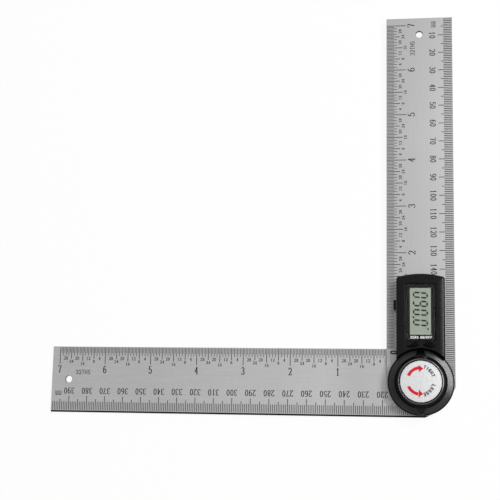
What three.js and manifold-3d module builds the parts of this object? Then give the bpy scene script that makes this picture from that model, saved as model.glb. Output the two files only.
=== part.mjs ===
// Digital angle finder: two steel rules on one pivot, with a display module and a lock knob.
// Millimetres, +Z up. The origin is on the pivot axis, in the face that the tool rests on.
// The lower rule runs along -X and the upper rule along +Y, a right angle apart.

import * as THREE from 'three';
import { mergeVertices } from 'three/addons/utils/BufferGeometryUtils.js';
import Module from 'manifold-3d';

const wasm = await Module();
wasm.setup();

// Clearances and cuts
const FACE_GAP = 0.05; // flat faces that lie on each other
const RUNNING_GAP = 0.15; // fits that turn, slide or screw
const SEAT_GAP = 0.3; // pieces that drop into a pocket
const CUT_OVERRUN = 1; // how far a cut runs past its face

// Facets
const SHOWN_SEGMENTS = 72; // round pieces that show
const TURNED_SEGMENTS = 40; // round pieces inside
const FINE_SEGMENTS = 20; // screws, bosses and the like
const CURVE_SEGMENTS = 12;
const ROUND_OVER_SEGMENTS = 3;

// The two rules
const RULE = {
  reach: 200, // pivot to tip
  width: 35.6,
  thickness: 1.8,
  edgeBreak: 0.2,
  endInset: 0.25, // how far the round end stays inside the knob's rim
  straightPastPivot: 2,
  hangHoleRadius: 1.9,
  hangHoleFromTip: 9.4,
  bevelWidth: 0.55, // bevel on the lower rule's outer edge
  bevelDepth: 0.8,
};

// The stud that carries everything, and the plain washers and bush on it
const STUD = {
  flangeRadius: 9.5,
  flangeThickness: 1.2,
  flangeChamfer: 0.3,
  keyRadius: 7,
  keyFlat: 6, // axis to each flat that stops it turning in the lower rule
  shankRadius: 5,
  shankFlat: 4.4, // axis to the flat that drives the sensor hub
  threadRadius: 2.9,
  threadBelowInsertTop: 0.6,
  tipChamfer: 0.5,
};
const FRICTION_WASHER = { radius: 12, thickness: 0.4 };
const BUSH_WALL = 1.3;

// Angle sensor: a fixed ring on the upper rule and a turning ring on the stud
const SENSOR = {
  hubWall: 1.1,
  hubStandOut: 0.1, // the hub takes the knob's load above the plastic
  carrierRadius: 8.6,
  carrierThickness: 0.35,
  rotorRadius: 14,
  rotorThickness: 0.6,
  statorRadius: 14.8,
  statorThickness: 0.8,
  statorTabHalfWidth: 4,
  statorTabReach: 17,
  airGap: 0.4,
};

// Coin cell and its sliding tray
const CELL = { radius: 10, thickness: 3.2, edgeBreak: 0.3 };
const TRAY = {
  floor: 0.4,
  wall: 0.8,
  face: 1.3, // the outer end that closes the slot
  pocketGap: 0.2,
  cornerRadius: 1.5,
  tabReach: 1.75,
  tabHalfLength: 2.7,
  tabShift: 0.6, // the tab's middle beyond the cell's, away from the knob
  tabRadius: 0.9,
  tabSetBack: 0.5, // above the tray's underside and below its rim
  notchHalfWidth: 2.4,
};
const CONTACT = { room: 1.1, thickness: 0.15, halfWidth: 1.5, height: 0.4, footLength: 2, leafReach: 7 };

// Circuit board and what it carries
const BOARD = { thickness: 0.8, edgeGap: 0.5 };
const CHIP = { halfSize: 2.2, thickness: 0.8 };
const RIBBON = { halfWidth: 3, thickness: 0.2, bend: 0.7, footLength: 1.2, boardInset: 1.2 };
const PAD = { halfWidth: 7.6, thickness: 0.6, domeRadius: 0.9 };

// Display
const DISPLAY = {
  windowWidth: 11,
  windowLength: 24.5,
  panelOverlap: 1.1, // panel beyond the window on each side
  panelThickness: 0.95,
  panelChamfer: 0.15,
  stripHeight: 1,
  stripWidth: 1.4,
  frameWall: 1,
  ledge: 0.5, // housing left under the lens
  lensBorderSide: 2.3,
  lensBorderTop: 2.2,
  printStrip: 3, // lens below the window, where the button names are
  lensThickness: 0.65,
  lensRecess: 0.2,
  lensCornerRadius: 0.7,
};

// Housing
const HOUSING = {
  wall: 1.2,
  topMargin: 4.7, // lens to the crown of the arched end
  archRise: 1.35,
  cornerRadius: 2,
  topRound: 1.15,
  drumRadius: 16.6, // round part round the pivot
  drumWall: 1.4,
  drumRoof: 1,
  wellWall: 0.95, // wall between the knob and the electronics
  bossRadius: 1.6,
  bossInWall: 0.4, // how far a boss runs into the side wall
  bossFromCrown: 3,
  baseThickness: 0.6,
};

// Buttons
const BUTTON = {
  length: 5.9,
  width: 2.1,
  angle: 11.5, // degrees from the rule's centre line, seen from the pivot
  proud: 0.3,
  topRound: 0.25,
  flangeThickness: 0.4,
  flangeOverhang: 0.6,
  flangeWidthShare: 0.6,
  travel: 0.4,
  lensGap: 0.6,
  tipShare: 0.12, // blunt tip as a share of the width
};

// Lock knob
const KNOB = {
  flangeRadius: 17.2,
  flangeThickness: 1.3,
  flangeRise: 0.7,
  flangeChamfer: 0.3,
  footRadius: 12.9,
  footFillet: 0.4,
  topRadius: 11.95,
  height: 8.8, // flange underside to rim
  rimChamfer: 0.35,
  rimWidth: 0.8, // rim round the label's recess
  labelGap: 0.25,
  labelThickness: 0.35,
  labelDepth: 0.65,
  wall: 1.6,
  crownThickness: 2.2,
  bossRadius: 6.6,
  baseGap: 0.35,
  wellGap: 0.25,
  wingFootHalfWidth: 3.3,
  wingTipHalfWidth: 1.45,
  wingReach: 16.8,
  wingTopDrop: 0.9,
  wingTipDrop: 5.4,
  wingShoulder: 1.2,
};
const INSERT = { wall: 1.7, grooveDepth: 0.4, grooveHalfHeight: 0.6 };
const KNOB_WASHER = { radius: 6.8, thickness: 0.4 };

// Module screws
const SCREW = {
  headRadius: 1.9,
  headHeight: 0.9,
  shankRadius: 0.8,
  length: 7.3,
  slotHalfWidth: 0.18,
  slotDepth: 0.45,
};

// Heights of the stack on the stud, from the resting face up
const lowerBottom = STUD.flangeThickness + FACE_GAP;
const lowerTop = lowerBottom + RULE.thickness;
const frictionBottom = lowerTop + FACE_GAP;
const frictionTop = frictionBottom + FRICTION_WASHER.thickness;
const upperBottom = frictionTop + FACE_GAP;
const upperTop = upperBottom + RULE.thickness;
const baseBottom = upperTop + FACE_GAP;
const baseTop = baseBottom + HOUSING.baseThickness;
const statorBottom = baseTop + FACE_GAP;
const statorTop = statorBottom + SENSOR.statorThickness;
const carrierBottom = statorTop + RUNNING_GAP;
const carrierTop = carrierBottom + SENSOR.carrierThickness;
const rotorBottom = carrierTop + FACE_GAP;
const rotorTop = rotorBottom + SENSOR.rotorThickness;
const drumCeiling = rotorTop + SENSOR.airGap;
const drumTop = drumCeiling + HOUSING.drumRoof;
const hubTop = drumTop + SENSOR.hubStandOut;
const knobWasherBottom = hubTop + FACE_GAP;
const knobWasherTop = knobWasherBottom + KNOB_WASHER.thickness;
const insertBottom = knobWasherTop + FACE_GAP;
const knobBottom = drumTop + KNOB.baseGap;
const knobTop = knobBottom + KNOB.height;
const knobEdgeTop = knobBottom + KNOB.flangeThickness;
const labelFloor = knobTop - KNOB.labelDepth;
const insertTop = labelFloor - KNOB.crownThickness;
const threadTop = insertTop - STUD.threadBelowInsertTop;

// Heights inside the display module
const trayBottom = baseTop + RUNNING_GAP;
const cellBottom = trayBottom + TRAY.floor + FACE_GAP;
const trayTop = cellBottom + CELL.thickness;
const boardBottom = trayTop + CONTACT.height;
const boardTop = boardBottom + BOARD.thickness;
const stripBottom = boardTop + FACE_GAP;
const panelBottom = stripBottom + DISPLAY.stripHeight + FACE_GAP;
const panelTop = panelBottom + DISPLAY.panelThickness;
const roofUnderside = panelTop + FACE_GAP;
const lensSeat = roofUnderside + DISPLAY.ledge;
const lensBottom = lensSeat + FACE_GAP;
const lensTop = lensBottom + DISPLAY.lensThickness;
const moduleTop = lensTop + DISPLAY.lensRecess;
const buttonBottom = roofUnderside - FACE_GAP - BUTTON.flangeThickness;

// Places across the display module
const cellPocketRadius = CELL.radius + TRAY.pocketGap;
const trayHalfLength = cellPocketRadius + TRAY.wall;
const panelHalfWidth = DISPLAY.windowWidth / 2 + DISPLAY.panelOverlap;
const frameHalfWidth = panelHalfWidth + RUNNING_GAP + DISPLAY.frameWall;
const widthForCell = TRAY.face + 2 * cellPocketRadius + TRAY.wall + CONTACT.room + HOUSING.wall;
const bossReach = 2 * HOUSING.bossRadius - HOUSING.bossInWall;
const widthForDisplay = 2 * (frameHalfWidth + SEAT_GAP + bossReach + HOUSING.wall);
const moduleHalfWidth = Math.max(widthForCell, widthForDisplay) / 2;
const cellX = -moduleHalfWidth + TRAY.face + cellPocketRadius;
const trayRight = cellX + cellPocketRadius + TRAY.wall;
const bossX = moduleHalfWidth - HOUSING.wall - bossReach + HOUSING.bossRadius;
const lensHalfWidth = DISPLAY.windowWidth / 2 + DISPLAY.lensBorderSide;

// Places along the display module, from the knob outwards
const wellRadius = KNOB.flangeRadius + KNOB.wellGap;
const cavityRadius = wellRadius + HOUSING.wellWall;
const buttonRadius = cavityRadius + RUNNING_GAP + BUTTON.width / 2;
const lensNear = buttonRadius + BUTTON.width / 2 + RUNNING_GAP + BUTTON.lensGap;
const windowNear = lensNear + DISPLAY.printStrip;
const windowFar = windowNear + DISPLAY.windowLength;
const lensFar = windowFar + DISPLAY.lensBorderTop;
const boardNear = cavityRadius + BOARD.edgeGap;
const chipNear = boardNear + RIBBON.boardInset + RIBBON.bend + RIBBON.footLength + SEAT_GAP;
const chipFar = chipNear + 2 * CHIP.halfSize;
const lengthForDisplay = lensFar + HOUSING.topMargin;
const cellRoom = 2 * (trayHalfLength + SEAT_GAP);
const lengthForCell = chipFar + cellRoom + HOUSING.bossRadius + HOUSING.bossFromCrown;
const moduleCrown = Math.max(lengthForDisplay, lengthForCell);
const bossFarY = moduleCrown - HOUSING.bossFromCrown;
const cellY = bossFarY - HOUSING.bossRadius - SEAT_GAP - trayHalfLength;
const bossNearY = cellY - trayHalfLength - SEAT_GAP - HOUSING.bossRadius;
const panelNear = windowNear - DISPLAY.panelOverlap;
const panelFar = windowFar + DISPLAY.panelOverlap;
const frameNear = panelNear - RUNNING_GAP - DISPLAY.frameWall;
const frameFar = panelFar + RUNNING_GAP + DISPLAY.frameWall;
const boardHalfWidth = moduleHalfWidth - HOUSING.wall - BOARD.edgeGap;
const boardFar = moduleCrown - HOUSING.wall - HOUSING.archRise - SEAT_GAP;
const bossPlaces = [
  [-bossX, bossNearY],
  [bossX, bossNearY],
  [-bossX, bossFarY],
  [bossX, bossFarY],
];

// Radii that fit each other on the pivot
const boreRadius = STUD.shankRadius + RUNNING_GAP;
const bushRadius = boreRadius + BUSH_WALL;
const hubRadius = boreRadius + SENSOR.hubWall;
const hubClearRadius = hubRadius + SEAT_GAP;
const insertBoreRadius = STUD.threadRadius + RUNNING_GAP;
const insertRadius = insertBoreRadius + INSERT.wall;
const drumInnerRadius = HOUSING.drumRadius - HOUSING.drumWall;
const labelRecessRadius = KNOB.topRadius - KNOB.rimWidth;

// Finishes
function finish(color, roughness, metalness) {
  return new THREE.MeshStandardMaterial({ color, roughness, metalness });
}

const FINISHES = {
  satinSteel: () => finish(0xc4c5c7, 0.38, 1),
  brightSteel: () => finish(0xd8d9dc, 0.22, 1),
  brass: () => finish(0xc9a24a, 0.35, 1),
  blackPlastic: () => finish(0x1c1c1e, 0.5, 0),
  greyRubber: () => finish(0x6d7075, 0.8, 0),
  blackRubber: () => finish(0x121214, 0.75, 0),
  whiteNylon: () => finish(0xe6e4dc, 0.55, 0),
  boardGreen: () => finish(0x1f5a36, 0.5, 0),
  amberFilm: () => finish(0xb4692a, 0.4, 0),
  displayGlass: () => finish(0xa4b496, 0.25, 0),
  clearLens: () => finish(0x2a2c2e, 0.08, 0),
  silverLabel: () => finish(0xd9dadc, 0.35, 0.2),
};

// Solids
function solidOf(geometry) {
  geometry.deleteAttribute('normal');
  geometry.deleteAttribute('uv');
  const merged = mergeVertices(geometry, 1e-5);
  return new wasm.Manifold(
    new wasm.Mesh({
      numProp: 3,
      vertProperties: new Float32Array(merged.attributes.position.array),
      triVerts: new Uint32Array(merged.index.array),
    }),
  );
}

function prism(shape, bottom, top, edge = 0, edgeSegments = 1) {
  const geometry = new THREE.ExtrudeGeometry(shape, {
    depth: top - bottom - 2 * edge,
    bevelEnabled: edge > 0,
    bevelThickness: edge,
    bevelSize: edge,
    bevelOffset: -edge,
    bevelSegments: edgeSegments,
    curveSegments: CURVE_SEGMENTS,
  });
  geometry.translate(0, 0, bottom + edge);
  return solidOf(geometry);
}

// A profile of [radius, height] points that runs anticlockwise, turned about the Z axis.
function turned(profile, segments = TURNED_SEGMENTS) {
  const points = profile.map(([radius, height]) => new THREE.Vector2(radius, height));
  const geometry = new THREE.LatheGeometry(points, segments);
  geometry.rotateX(Math.PI / 2);
  return solidOf(geometry);
}

function rod(radius, bottom, top, x = 0, y = 0, segments = TURNED_SEGMENTS) {
  const geometry = new THREE.CylinderGeometry(radius, radius, top - bottom, segments);
  geometry.rotateX(Math.PI / 2);
  geometry.translate(x, y, (bottom + top) / 2);
  return solidOf(geometry);
}

function ring(inner, outer, bottom, top, segments = TURNED_SEGMENTS) {
  return turned(
    [
      [inner, bottom],
      [outer, bottom],
      [outer, top],
      [inner, top],
      [inner, bottom],
    ],
    segments,
  );
}

function block(x0, x1, y0, y1, z0, z1) {
  const geometry = new THREE.BoxGeometry(x1 - x0, y1 - y0, z1 - z0);
  geometry.translate((x0 + x1) / 2, (y0 + y1) / 2, (z0 + z1) / 2);
  return solidOf(geometry);
}

function roundedRectangle(x0, x1, y0, y1, radius) {
  const shape = new THREE.Shape();
  shape.moveTo(x0 + radius, y0);
  shape.lineTo(x1 - radius, y0);
  shape.absarc(x1 - radius, y0 + radius, radius, -Math.PI / 2, 0);
  shape.lineTo(x1, y1 - radius);
  shape.absarc(x1 - radius, y1 - radius, radius, 0, Math.PI / 2);
  shape.lineTo(x0 + radius, y1);
  shape.absarc(x0 + radius, y1 - radius, radius, Math.PI / 2, Math.PI);
  shape.lineTo(x0, y0 + radius);
  shape.absarc(x0 + radius, y0 + radius, radius, Math.PI, (3 * Math.PI) / 2);
  return shape;
}

// A profile in the plane of two axes, drawn as [across, height] and given a width along the third.
function strip(points, halfWidth, acrossY) {
  const shape = new THREE.Shape(points.map(([across, height]) => new THREE.Vector2(across, height)));
  const geometry = new THREE.ExtrudeGeometry(shape, { depth: 2 * halfWidth, bevelEnabled: false });
  geometry.translate(0, 0, -halfWidth);
  geometry.rotateX(Math.PI / 2);
  if (acrossY) geometry.rotateZ(Math.PI / 2);
  return solidOf(geometry);
}

function withoutAll(solid, cuts) {
  return cuts.reduce((rest, cut) => rest.subtract(cut), solid);
}

function meshOf(name, solid, material) {
  const { vertProperties, triVerts } = solid.getMesh();
  const geometry = new THREE.BufferGeometry();
  geometry.setAttribute('position', new THREE.BufferAttribute(new Float32Array(vertProperties), 3));
  geometry.setIndex(new THREE.BufferAttribute(new Uint32Array(triVerts), 1));
  geometry.computeVertexNormals();
  const mesh = new THREE.Mesh(geometry, material);
  mesh.name = name;
  return mesh;
}

// Rules
function ruleOutline() {
  const half = RULE.width / 2;
  const endRadius = Math.min(half, KNOB.flangeRadius) - RULE.endInset;
  const cornerDistance = Math.hypot(RULE.straightPastPivot, half);
  const startAngle = Math.atan2(half, RULE.straightPastPivot) - Math.acos(endRadius / cornerDistance);
  const shape = new THREE.Shape();
  shape.moveTo(-RULE.reach, -half);
  shape.lineTo(RULE.straightPastPivot, -half);
  shape.absarc(0, 0, endRadius, -startAngle, startAngle);
  shape.lineTo(RULE.straightPastPivot, half);
  shape.lineTo(-RULE.reach, half);
  const hole = new THREE.Path();
  hole.absarc(-RULE.reach + RULE.hangHoleFromTip, 0, RULE.hangHoleRadius, 0, 2 * Math.PI);
  shape.holes.push(hole);
  return shape;
}

function keyedRod(radius, flat, bottom, top, flats) {
  const far = radius + CUT_OVERRUN;
  const low = bottom - CUT_OVERRUN;
  const high = top + CUT_OVERRUN;
  const cuts = [block(flat, far, -far, far, low, high)];
  if (flats > 1) cuts.push(block(-far, -flat, -far, far, low, high));
  return withoutAll(rod(radius, bottom, top), cuts);
}

function lowerBlade() {
  const half = RULE.width / 2;
  const plate = prism(ruleOutline(), lowerBottom, lowerTop, RULE.edgeBreak);
  const keyHole = keyedRod(
    STUD.keyRadius + FACE_GAP,
    STUD.keyFlat + FACE_GAP,
    lowerBottom - CUT_OVERRUN,
    lowerTop + CUT_OVERRUN,
    2,
  );
  const slope = RULE.bevelDepth / RULE.bevelWidth;
  const bevel = strip(
    [
      [-half - CUT_OVERRUN, lowerTop - RULE.bevelDepth - slope * CUT_OVERRUN],
      [-half + RULE.bevelWidth + CUT_OVERRUN, lowerTop + slope * CUT_OVERRUN],
      [-half - CUT_OVERRUN, lowerTop + slope * CUT_OVERRUN],
    ],
    RULE.reach + CUT_OVERRUN,
    true,
  );
  return meshOf('lower_blade', withoutAll(plate, [keyHole, bevel]), FINISHES.satinSteel());
}

function screwCut() {
  const head = SCREW.headRadius + RUNNING_GAP;
  const shank = SCREW.shankRadius + RUNNING_GAP;
  return turned(
    [
      [0, upperBottom - CUT_OVERRUN],
      [head, upperBottom - CUT_OVERRUN],
      [head, upperBottom + RUNNING_GAP],
      [shank, upperBottom + RUNNING_GAP + SCREW.headHeight],
      [shank, upperBottom + SCREW.length + SEAT_GAP],
      [0, upperBottom + SCREW.length + SEAT_GAP],
    ],
    FINE_SEGMENTS,
  );
}

function screwCuts() {
  return bossPlaces.map(([x, y]) => screwCut().translate([x, y, 0]));
}

function upperBlade() {
  const plate = prism(ruleOutline(), upperBottom, upperTop, RULE.edgeBreak).rotate([0, 0, -90]);
  const bushHole = rod(bushRadius + FACE_GAP, upperBottom - CUT_OVERRUN, upperTop + CUT_OVERRUN);
  return meshOf('upper_blade', withoutAll(plate, [bushHole, ...screwCuts()]), FINISHES.satinSteel());
}

// Pivot
function pivotStud() {
  const flangeProfile = [
    [0, 0],
    [STUD.flangeRadius - STUD.flangeChamfer, 0],
    [STUD.flangeRadius, STUD.flangeChamfer],
    [STUD.flangeRadius, STUD.flangeThickness],
    [0, STUD.flangeThickness],
  ];
  const flange = turned(flangeProfile, SHOWN_SEGMENTS);
  const key = keyedRod(STUD.keyRadius, STUD.keyFlat, 0, lowerTop, 2);
  const shank = rod(STUD.shankRadius, 0, upperTop + FACE_GAP);
  const driver = keyedRod(STUD.shankRadius, STUD.shankFlat, 0, hubTop - RUNNING_GAP, 1);
  const thread = turned([
    [0, 0],
    [STUD.threadRadius, 0],
    [STUD.threadRadius, threadTop - STUD.tipChamfer],
    [STUD.threadRadius - STUD.tipChamfer, threadTop],
    [0, threadTop],
  ]);
  const stud = flange.add(key).add(shank).add(driver).add(thread);
  return meshOf('pivot_stud', stud, FINISHES.brightSteel());
}

function frictionWasher() {
  const washer = ring(boreRadius, FRICTION_WASHER.radius, frictionBottom, frictionTop);
  return meshOf('friction_washer', washer, FINISHES.whiteNylon());
}

function pivotBush() {
  return meshOf('pivot_bush', ring(boreRadius, bushRadius, upperBottom, upperTop), FINISHES.brass());
}

// Angle sensor
function rotorHub() {
  const bottom = upperTop + RUNNING_GAP;
  const sleeve = rod(hubRadius, bottom, hubTop);
  const carrier = rod(SENSOR.carrierRadius, carrierBottom, carrierTop);
  const bore = keyedRod(
    boreRadius,
    STUD.shankFlat + RUNNING_GAP,
    bottom - CUT_OVERRUN,
    hubTop + CUT_OVERRUN,
    1,
  );
  return meshOf('rotor_hub', sleeve.add(carrier).subtract(bore), FINISHES.brightSteel());
}

function encoderRotor() {
  const rotor = ring(hubRadius + FACE_GAP, SENSOR.rotorRadius, rotorBottom, rotorTop);
  return meshOf('encoder_rotor', rotor, FINISHES.boardGreen());
}

function encoderStator() {
  const half = SENSOR.statorTabHalfWidth;
  const tab = block(-half, half, SENSOR.rotorRadius, SENSOR.statorTabReach, statorBottom, statorTop);
  const hole = rod(hubClearRadius, statorBottom - CUT_OVERRUN, statorTop + CUT_OVERRUN);
  const stator = rod(SENSOR.statorRadius, statorBottom, statorTop).add(tab).subtract(hole);
  return meshOf('encoder_stator', stator, FINISHES.boardGreen());
}

function sensorRibbon() {
  const low = statorTop + FACE_GAP;
  const high = boardBottom - FACE_GAP;
  const rise = boardNear + RIBBON.boardInset;
  const t = RIBBON.thickness;
  const start = SENSOR.statorTabReach - RIBBON.footLength;
  const end = rise + RIBBON.bend + RIBBON.footLength;
  const ribbon = strip(
    [
      [start, low],
      [rise - RIBBON.bend, low],
      [rise, low + RIBBON.bend],
      [rise, high - RIBBON.bend - t],
      [rise + RIBBON.bend, high - t],
      [end, high - t],
      [end, high],
      [rise + RIBBON.bend - t, high],
      [rise - t, high - RIBBON.bend],
      [rise - t, low + RIBBON.bend + t],
      [rise - RIBBON.bend - t, low + t],
      [start, low + t],
    ],
    RIBBON.halfWidth,
    true,
  );
  return meshOf('sensor_ribbon', ribbon, FINISHES.amberFilm());
}

// Display module: base and housing
function moduleOutline(inset) {
  const half = moduleHalfWidth - inset;
  const crown = moduleCrown - inset;
  const shoulder = crown - HOUSING.archRise;
  const corner = HOUSING.cornerRadius - inset;
  const shape = new THREE.Shape();
  shape.moveTo(-half, 0);
  shape.lineTo(half, 0);
  shape.lineTo(half, shoulder - corner);
  shape.quadraticCurveTo(half, shoulder, half - corner, shoulder);
  shape.quadraticCurveTo(0, crown + HOUSING.archRise, -half + corner, shoulder);
  shape.quadraticCurveTo(-half, shoulder, -half, shoulder - corner);
  return shape;
}

function baseCover() {
  const drum = rod(HOUSING.drumRadius, baseBottom, baseTop, 0, 0, SHOWN_SEGMENTS);
  const plate = prism(moduleOutline(0), baseBottom, baseTop).add(drum);
  const hole = rod(hubClearRadius, baseBottom - CUT_OVERRUN, baseTop + CUT_OVERRUN);
  return meshOf('base_cover', withoutAll(plate, [hole, ...screwCuts()]), FINISHES.blackPlastic());
}

function leafOutline(grow) {
  const half = BUTTON.length / 2 + grow;
  const side = BUTTON.width / 2 + grow;
  const tip = BUTTON.width * BUTTON.tipShare;
  const shape = new THREE.Shape();
  shape.moveTo(-half, -tip);
  shape.quadraticCurveTo(0, -2 * side + tip, half, -tip);
  shape.lineTo(half, tip);
  shape.quadraticCurveTo(0, 2 * side - tip, -half, tip);
  return shape;
}

// Moves a solid made about the Z axis to a button's place, on the side that sign gives.
function atButton(solid, sign) {
  return solid.translate([0, buttonRadius, 0]).rotate([0, 0, -sign * BUTTON.angle]);
}

function displayCuts() {
  const windowHalf = DISPLAY.windowWidth / 2;
  const top = moduleTop + CUT_OVERRUN;
  const lens = roundedRectangle(-lensHalfWidth, lensHalfWidth, lensNear, lensFar, DISPLAY.lensCornerRadius);
  return [
    prism(lens, lensSeat, top),
    block(-windowHalf, windowHalf, windowNear, windowFar, roofUnderside - CUT_OVERRUN, top),
  ];
}

function housingCavity() {
  const low = baseTop - CUT_OVERRUN;
  const well = rod(cavityRadius, low - CUT_OVERRUN, roofUnderside + CUT_OVERRUN);
  const boxed = prism(moduleOutline(HOUSING.wall), low, roofUnderside).subtract(well);
  const drum = rod(drumInnerRadius, low, drumCeiling);
  const half = SENSOR.statorTabHalfWidth + SEAT_GAP;
  const channel = block(-half, half, 0, boardNear + RIBBON.boardInset, low, drumCeiling);
  return boxed.add(drum).add(channel);
}

function frontHousing() {
  const low = baseTop + FACE_GAP;
  const shell = prism(
    moduleOutline(0),
    low - HOUSING.topRound,
    moduleTop,
    HOUSING.topRound,
    ROUND_OVER_SEGMENTS,
  );
  const far = moduleCrown + CUT_OVERRUN;
  const under = block(-far, far, -far, far, low - HOUSING.topRound - CUT_OVERRUN, low);
  const well = rod(wellRadius, drumTop, moduleTop + CUT_OVERRUN, 0, 0, SHOWN_SEGMENTS);
  const drum = rod(HOUSING.drumRadius, low, drumTop, 0, 0, SHOWN_SEGMENTS);
  const bosses = bossPlaces.map(([x, y]) =>
    rod(HOUSING.bossRadius, low, roofUnderside, x, y, FINE_SEGMENTS),
  );
  const hollow = shell.add(drum).subtract(under).subtract(well).subtract(housingCavity());
  const trayHalf = trayHalfLength + RUNNING_GAP;
  const traySlot = block(
    -moduleHalfWidth - CUT_OVERRUN,
    -moduleHalfWidth + HOUSING.wall + CUT_OVERRUN,
    cellY - trayHalf,
    cellY + trayHalf,
    low - CUT_OVERRUN,
    trayTop + RUNNING_GAP,
  );
  const leaf = prism(leafOutline(RUNNING_GAP), roofUnderside - CUT_OVERRUN, moduleTop + CUT_OVERRUN);
  const hubHole = rod(hubClearRadius, low - CUT_OVERRUN, drumTop + CUT_OVERRUN);
  const cuts = [
    traySlot,
    hubHole,
    atButton(leaf, -1),
    atButton(leaf, 1),
    ...displayCuts(),
    ...screwCuts(),
  ];
  const housing = withoutAll(bosses.reduce((sum, boss) => sum.add(boss), hollow), cuts);
  return meshOf('front_housing', housing, FINISHES.blackPlastic());
}

// Display
function displayLens() {
  const half = lensHalfWidth - RUNNING_GAP;
  const outline = roundedRectangle(
    -half,
    half,
    lensNear + RUNNING_GAP,
    lensFar - RUNNING_GAP,
    DISPLAY.lensCornerRadius,
  );
  return meshOf('display_lens', prism(outline, lensBottom, lensTop), FINISHES.clearLens());
}

function lcdPanel() {
  const outline = new THREE.Shape([
    new THREE.Vector2(-panelHalfWidth, panelNear),
    new THREE.Vector2(panelHalfWidth, panelNear),
    new THREE.Vector2(panelHalfWidth, panelFar),
    new THREE.Vector2(-panelHalfWidth, panelFar),
  ]);
  const panel = prism(outline, panelBottom, panelTop, DISPLAY.panelChamfer);
  return meshOf('lcd_panel', panel, FINISHES.displayGlass());
}

function lcdFrame() {
  const innerHalf = panelHalfWidth + RUNNING_GAP;
  const outer = block(-frameHalfWidth, frameHalfWidth, frameNear, frameFar, stripBottom, panelTop);
  const inner = block(
    -innerHalf,
    innerHalf,
    panelNear - RUNNING_GAP,
    panelFar + RUNNING_GAP,
    stripBottom - CUT_OVERRUN,
    panelTop + CUT_OVERRUN,
  );
  return meshOf('lcd_frame', outer.subtract(inner), FINISHES.whiteNylon());
}

function contactStrip() {
  const left = -panelHalfWidth + SEAT_GAP;
  const solid = block(
    left,
    left + DISPLAY.stripWidth,
    windowNear,
    windowFar,
    stripBottom,
    stripBottom + DISPLAY.stripHeight,
  );
  return meshOf('contact_strip', solid, FINISHES.greyRubber());
}

// Electronics
function mainBoard() {
  const board = block(-boardHalfWidth, boardHalfWidth, boardNear, boardFar, boardBottom, boardTop);
  const reliefs = bossPlaces.map(([x, y]) =>
    rod(
      HOUSING.bossRadius + SEAT_GAP,
      boardBottom - CUT_OVERRUN,
      boardTop + CUT_OVERRUN,
      x,
      y,
      FINE_SEGMENTS,
    ),
  );
  return meshOf('main_board', withoutAll(board, reliefs), FINISHES.boardGreen());
}

function driverChip() {
  const half = CHIP.halfSize;
  const top = boardBottom - FACE_GAP;
  const chip = block(-half, half, chipNear, chipFar, top - CHIP.thickness, top);
  return meshOf('driver_chip', chip, FINISHES.blackRubber());
}

function negativeContact() {
  const high = boardBottom - FACE_GAP;
  const low = trayTop + FACE_GAP;
  const t = CONTACT.thickness;
  const foot = cellX + CONTACT.leafReach;
  const leaf = strip(
    [
      [foot, high - t],
      [foot, high],
      [foot - CONTACT.footLength, high],
      [cellX, low + t],
      [cellX - CONTACT.footLength, low + t],
      [cellX - CONTACT.footLength, low],
      [cellX, low],
      [foot - CONTACT.footLength, high - t],
    ],
    CONTACT.halfWidth,
    false,
  ).translate([0, cellY, 0]);
  return meshOf('negative_contact', leaf, FINISHES.brightSteel());
}

function positiveContact() {
  const left = trayRight + RUNNING_GAP;
  const blade = block(
    left,
    left + CONTACT.thickness,
    cellY - CONTACT.halfWidth,
    cellY + CONTACT.halfWidth,
    cellBottom,
    boardBottom - FACE_GAP,
  );
  return meshOf('positive_contact', blade, FINISHES.brightSteel());
}

// Battery
function batteryTray() {
  const face = -moduleHalfWidth;
  const tabY = cellY + TRAY.tabShift;
  const body = roundedRectangle(
    face,
    trayRight,
    cellY - trayHalfLength,
    cellY + trayHalfLength,
    TRAY.cornerRadius,
  );
  const squareFace = block(
    face,
    face + TRAY.cornerRadius,
    cellY - trayHalfLength,
    cellY + trayHalfLength,
    trayBottom,
    trayTop,
  );
  const tab = prism(
    roundedRectangle(
      face - TRAY.tabReach,
      face + TRAY.face,
      tabY - TRAY.tabHalfLength,
      tabY + TRAY.tabHalfLength,
      TRAY.tabRadius,
    ),
    trayBottom + TRAY.tabSetBack,
    trayTop - TRAY.tabSetBack,
    TRAY.tabSetBack,
    2,
  );
  const pocket = rod(cellPocketRadius, trayBottom + TRAY.floor, trayTop + CUT_OVERRUN, cellX, cellY);
  const notch = block(
    cellX,
    trayRight + CUT_OVERRUN,
    cellY - TRAY.notchHalfWidth,
    cellY + TRAY.notchHalfWidth,
    trayBottom + TRAY.floor,
    trayTop + CUT_OVERRUN,
  );
  const tray = prism(body, trayBottom, trayTop).add(squareFace).add(tab);
  return meshOf('battery_tray', withoutAll(tray, [pocket, notch]), FINISHES.blackPlastic());
}

function coinCell() {
  const { radius, edgeBreak } = CELL;
  const top = cellBottom + CELL.thickness - FACE_GAP;
  const cell = turned([
    [0, cellBottom],
    [radius - edgeBreak, cellBottom],
    [radius, cellBottom + edgeBreak],
    [radius, top - edgeBreak],
    [radius - edgeBreak, top],
    [0, top],
  ]).translate([cellX, cellY, 0]);
  return meshOf('coin_cell', cell, FINISHES.brightSteel());
}

// Buttons
function buttonPad() {
  const top = boardTop + FACE_GAP + PAD.thickness;
  const plate = block(
    -PAD.halfWidth,
    PAD.halfWidth,
    boardNear + FACE_GAP,
    frameNear - SEAT_GAP,
    boardTop + FACE_GAP,
    top,
  );
  const domeTop = buttonBottom - BUTTON.travel - FACE_GAP;
  const dome = rod(PAD.domeRadius, boardTop + FACE_GAP, domeTop, 0, 0, FINE_SEGMENTS);
  const pad = plate.add(atButton(dome, -1)).add(atButton(dome, 1));
  return meshOf('button_pad', pad, FINISHES.greyRubber());
}

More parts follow.
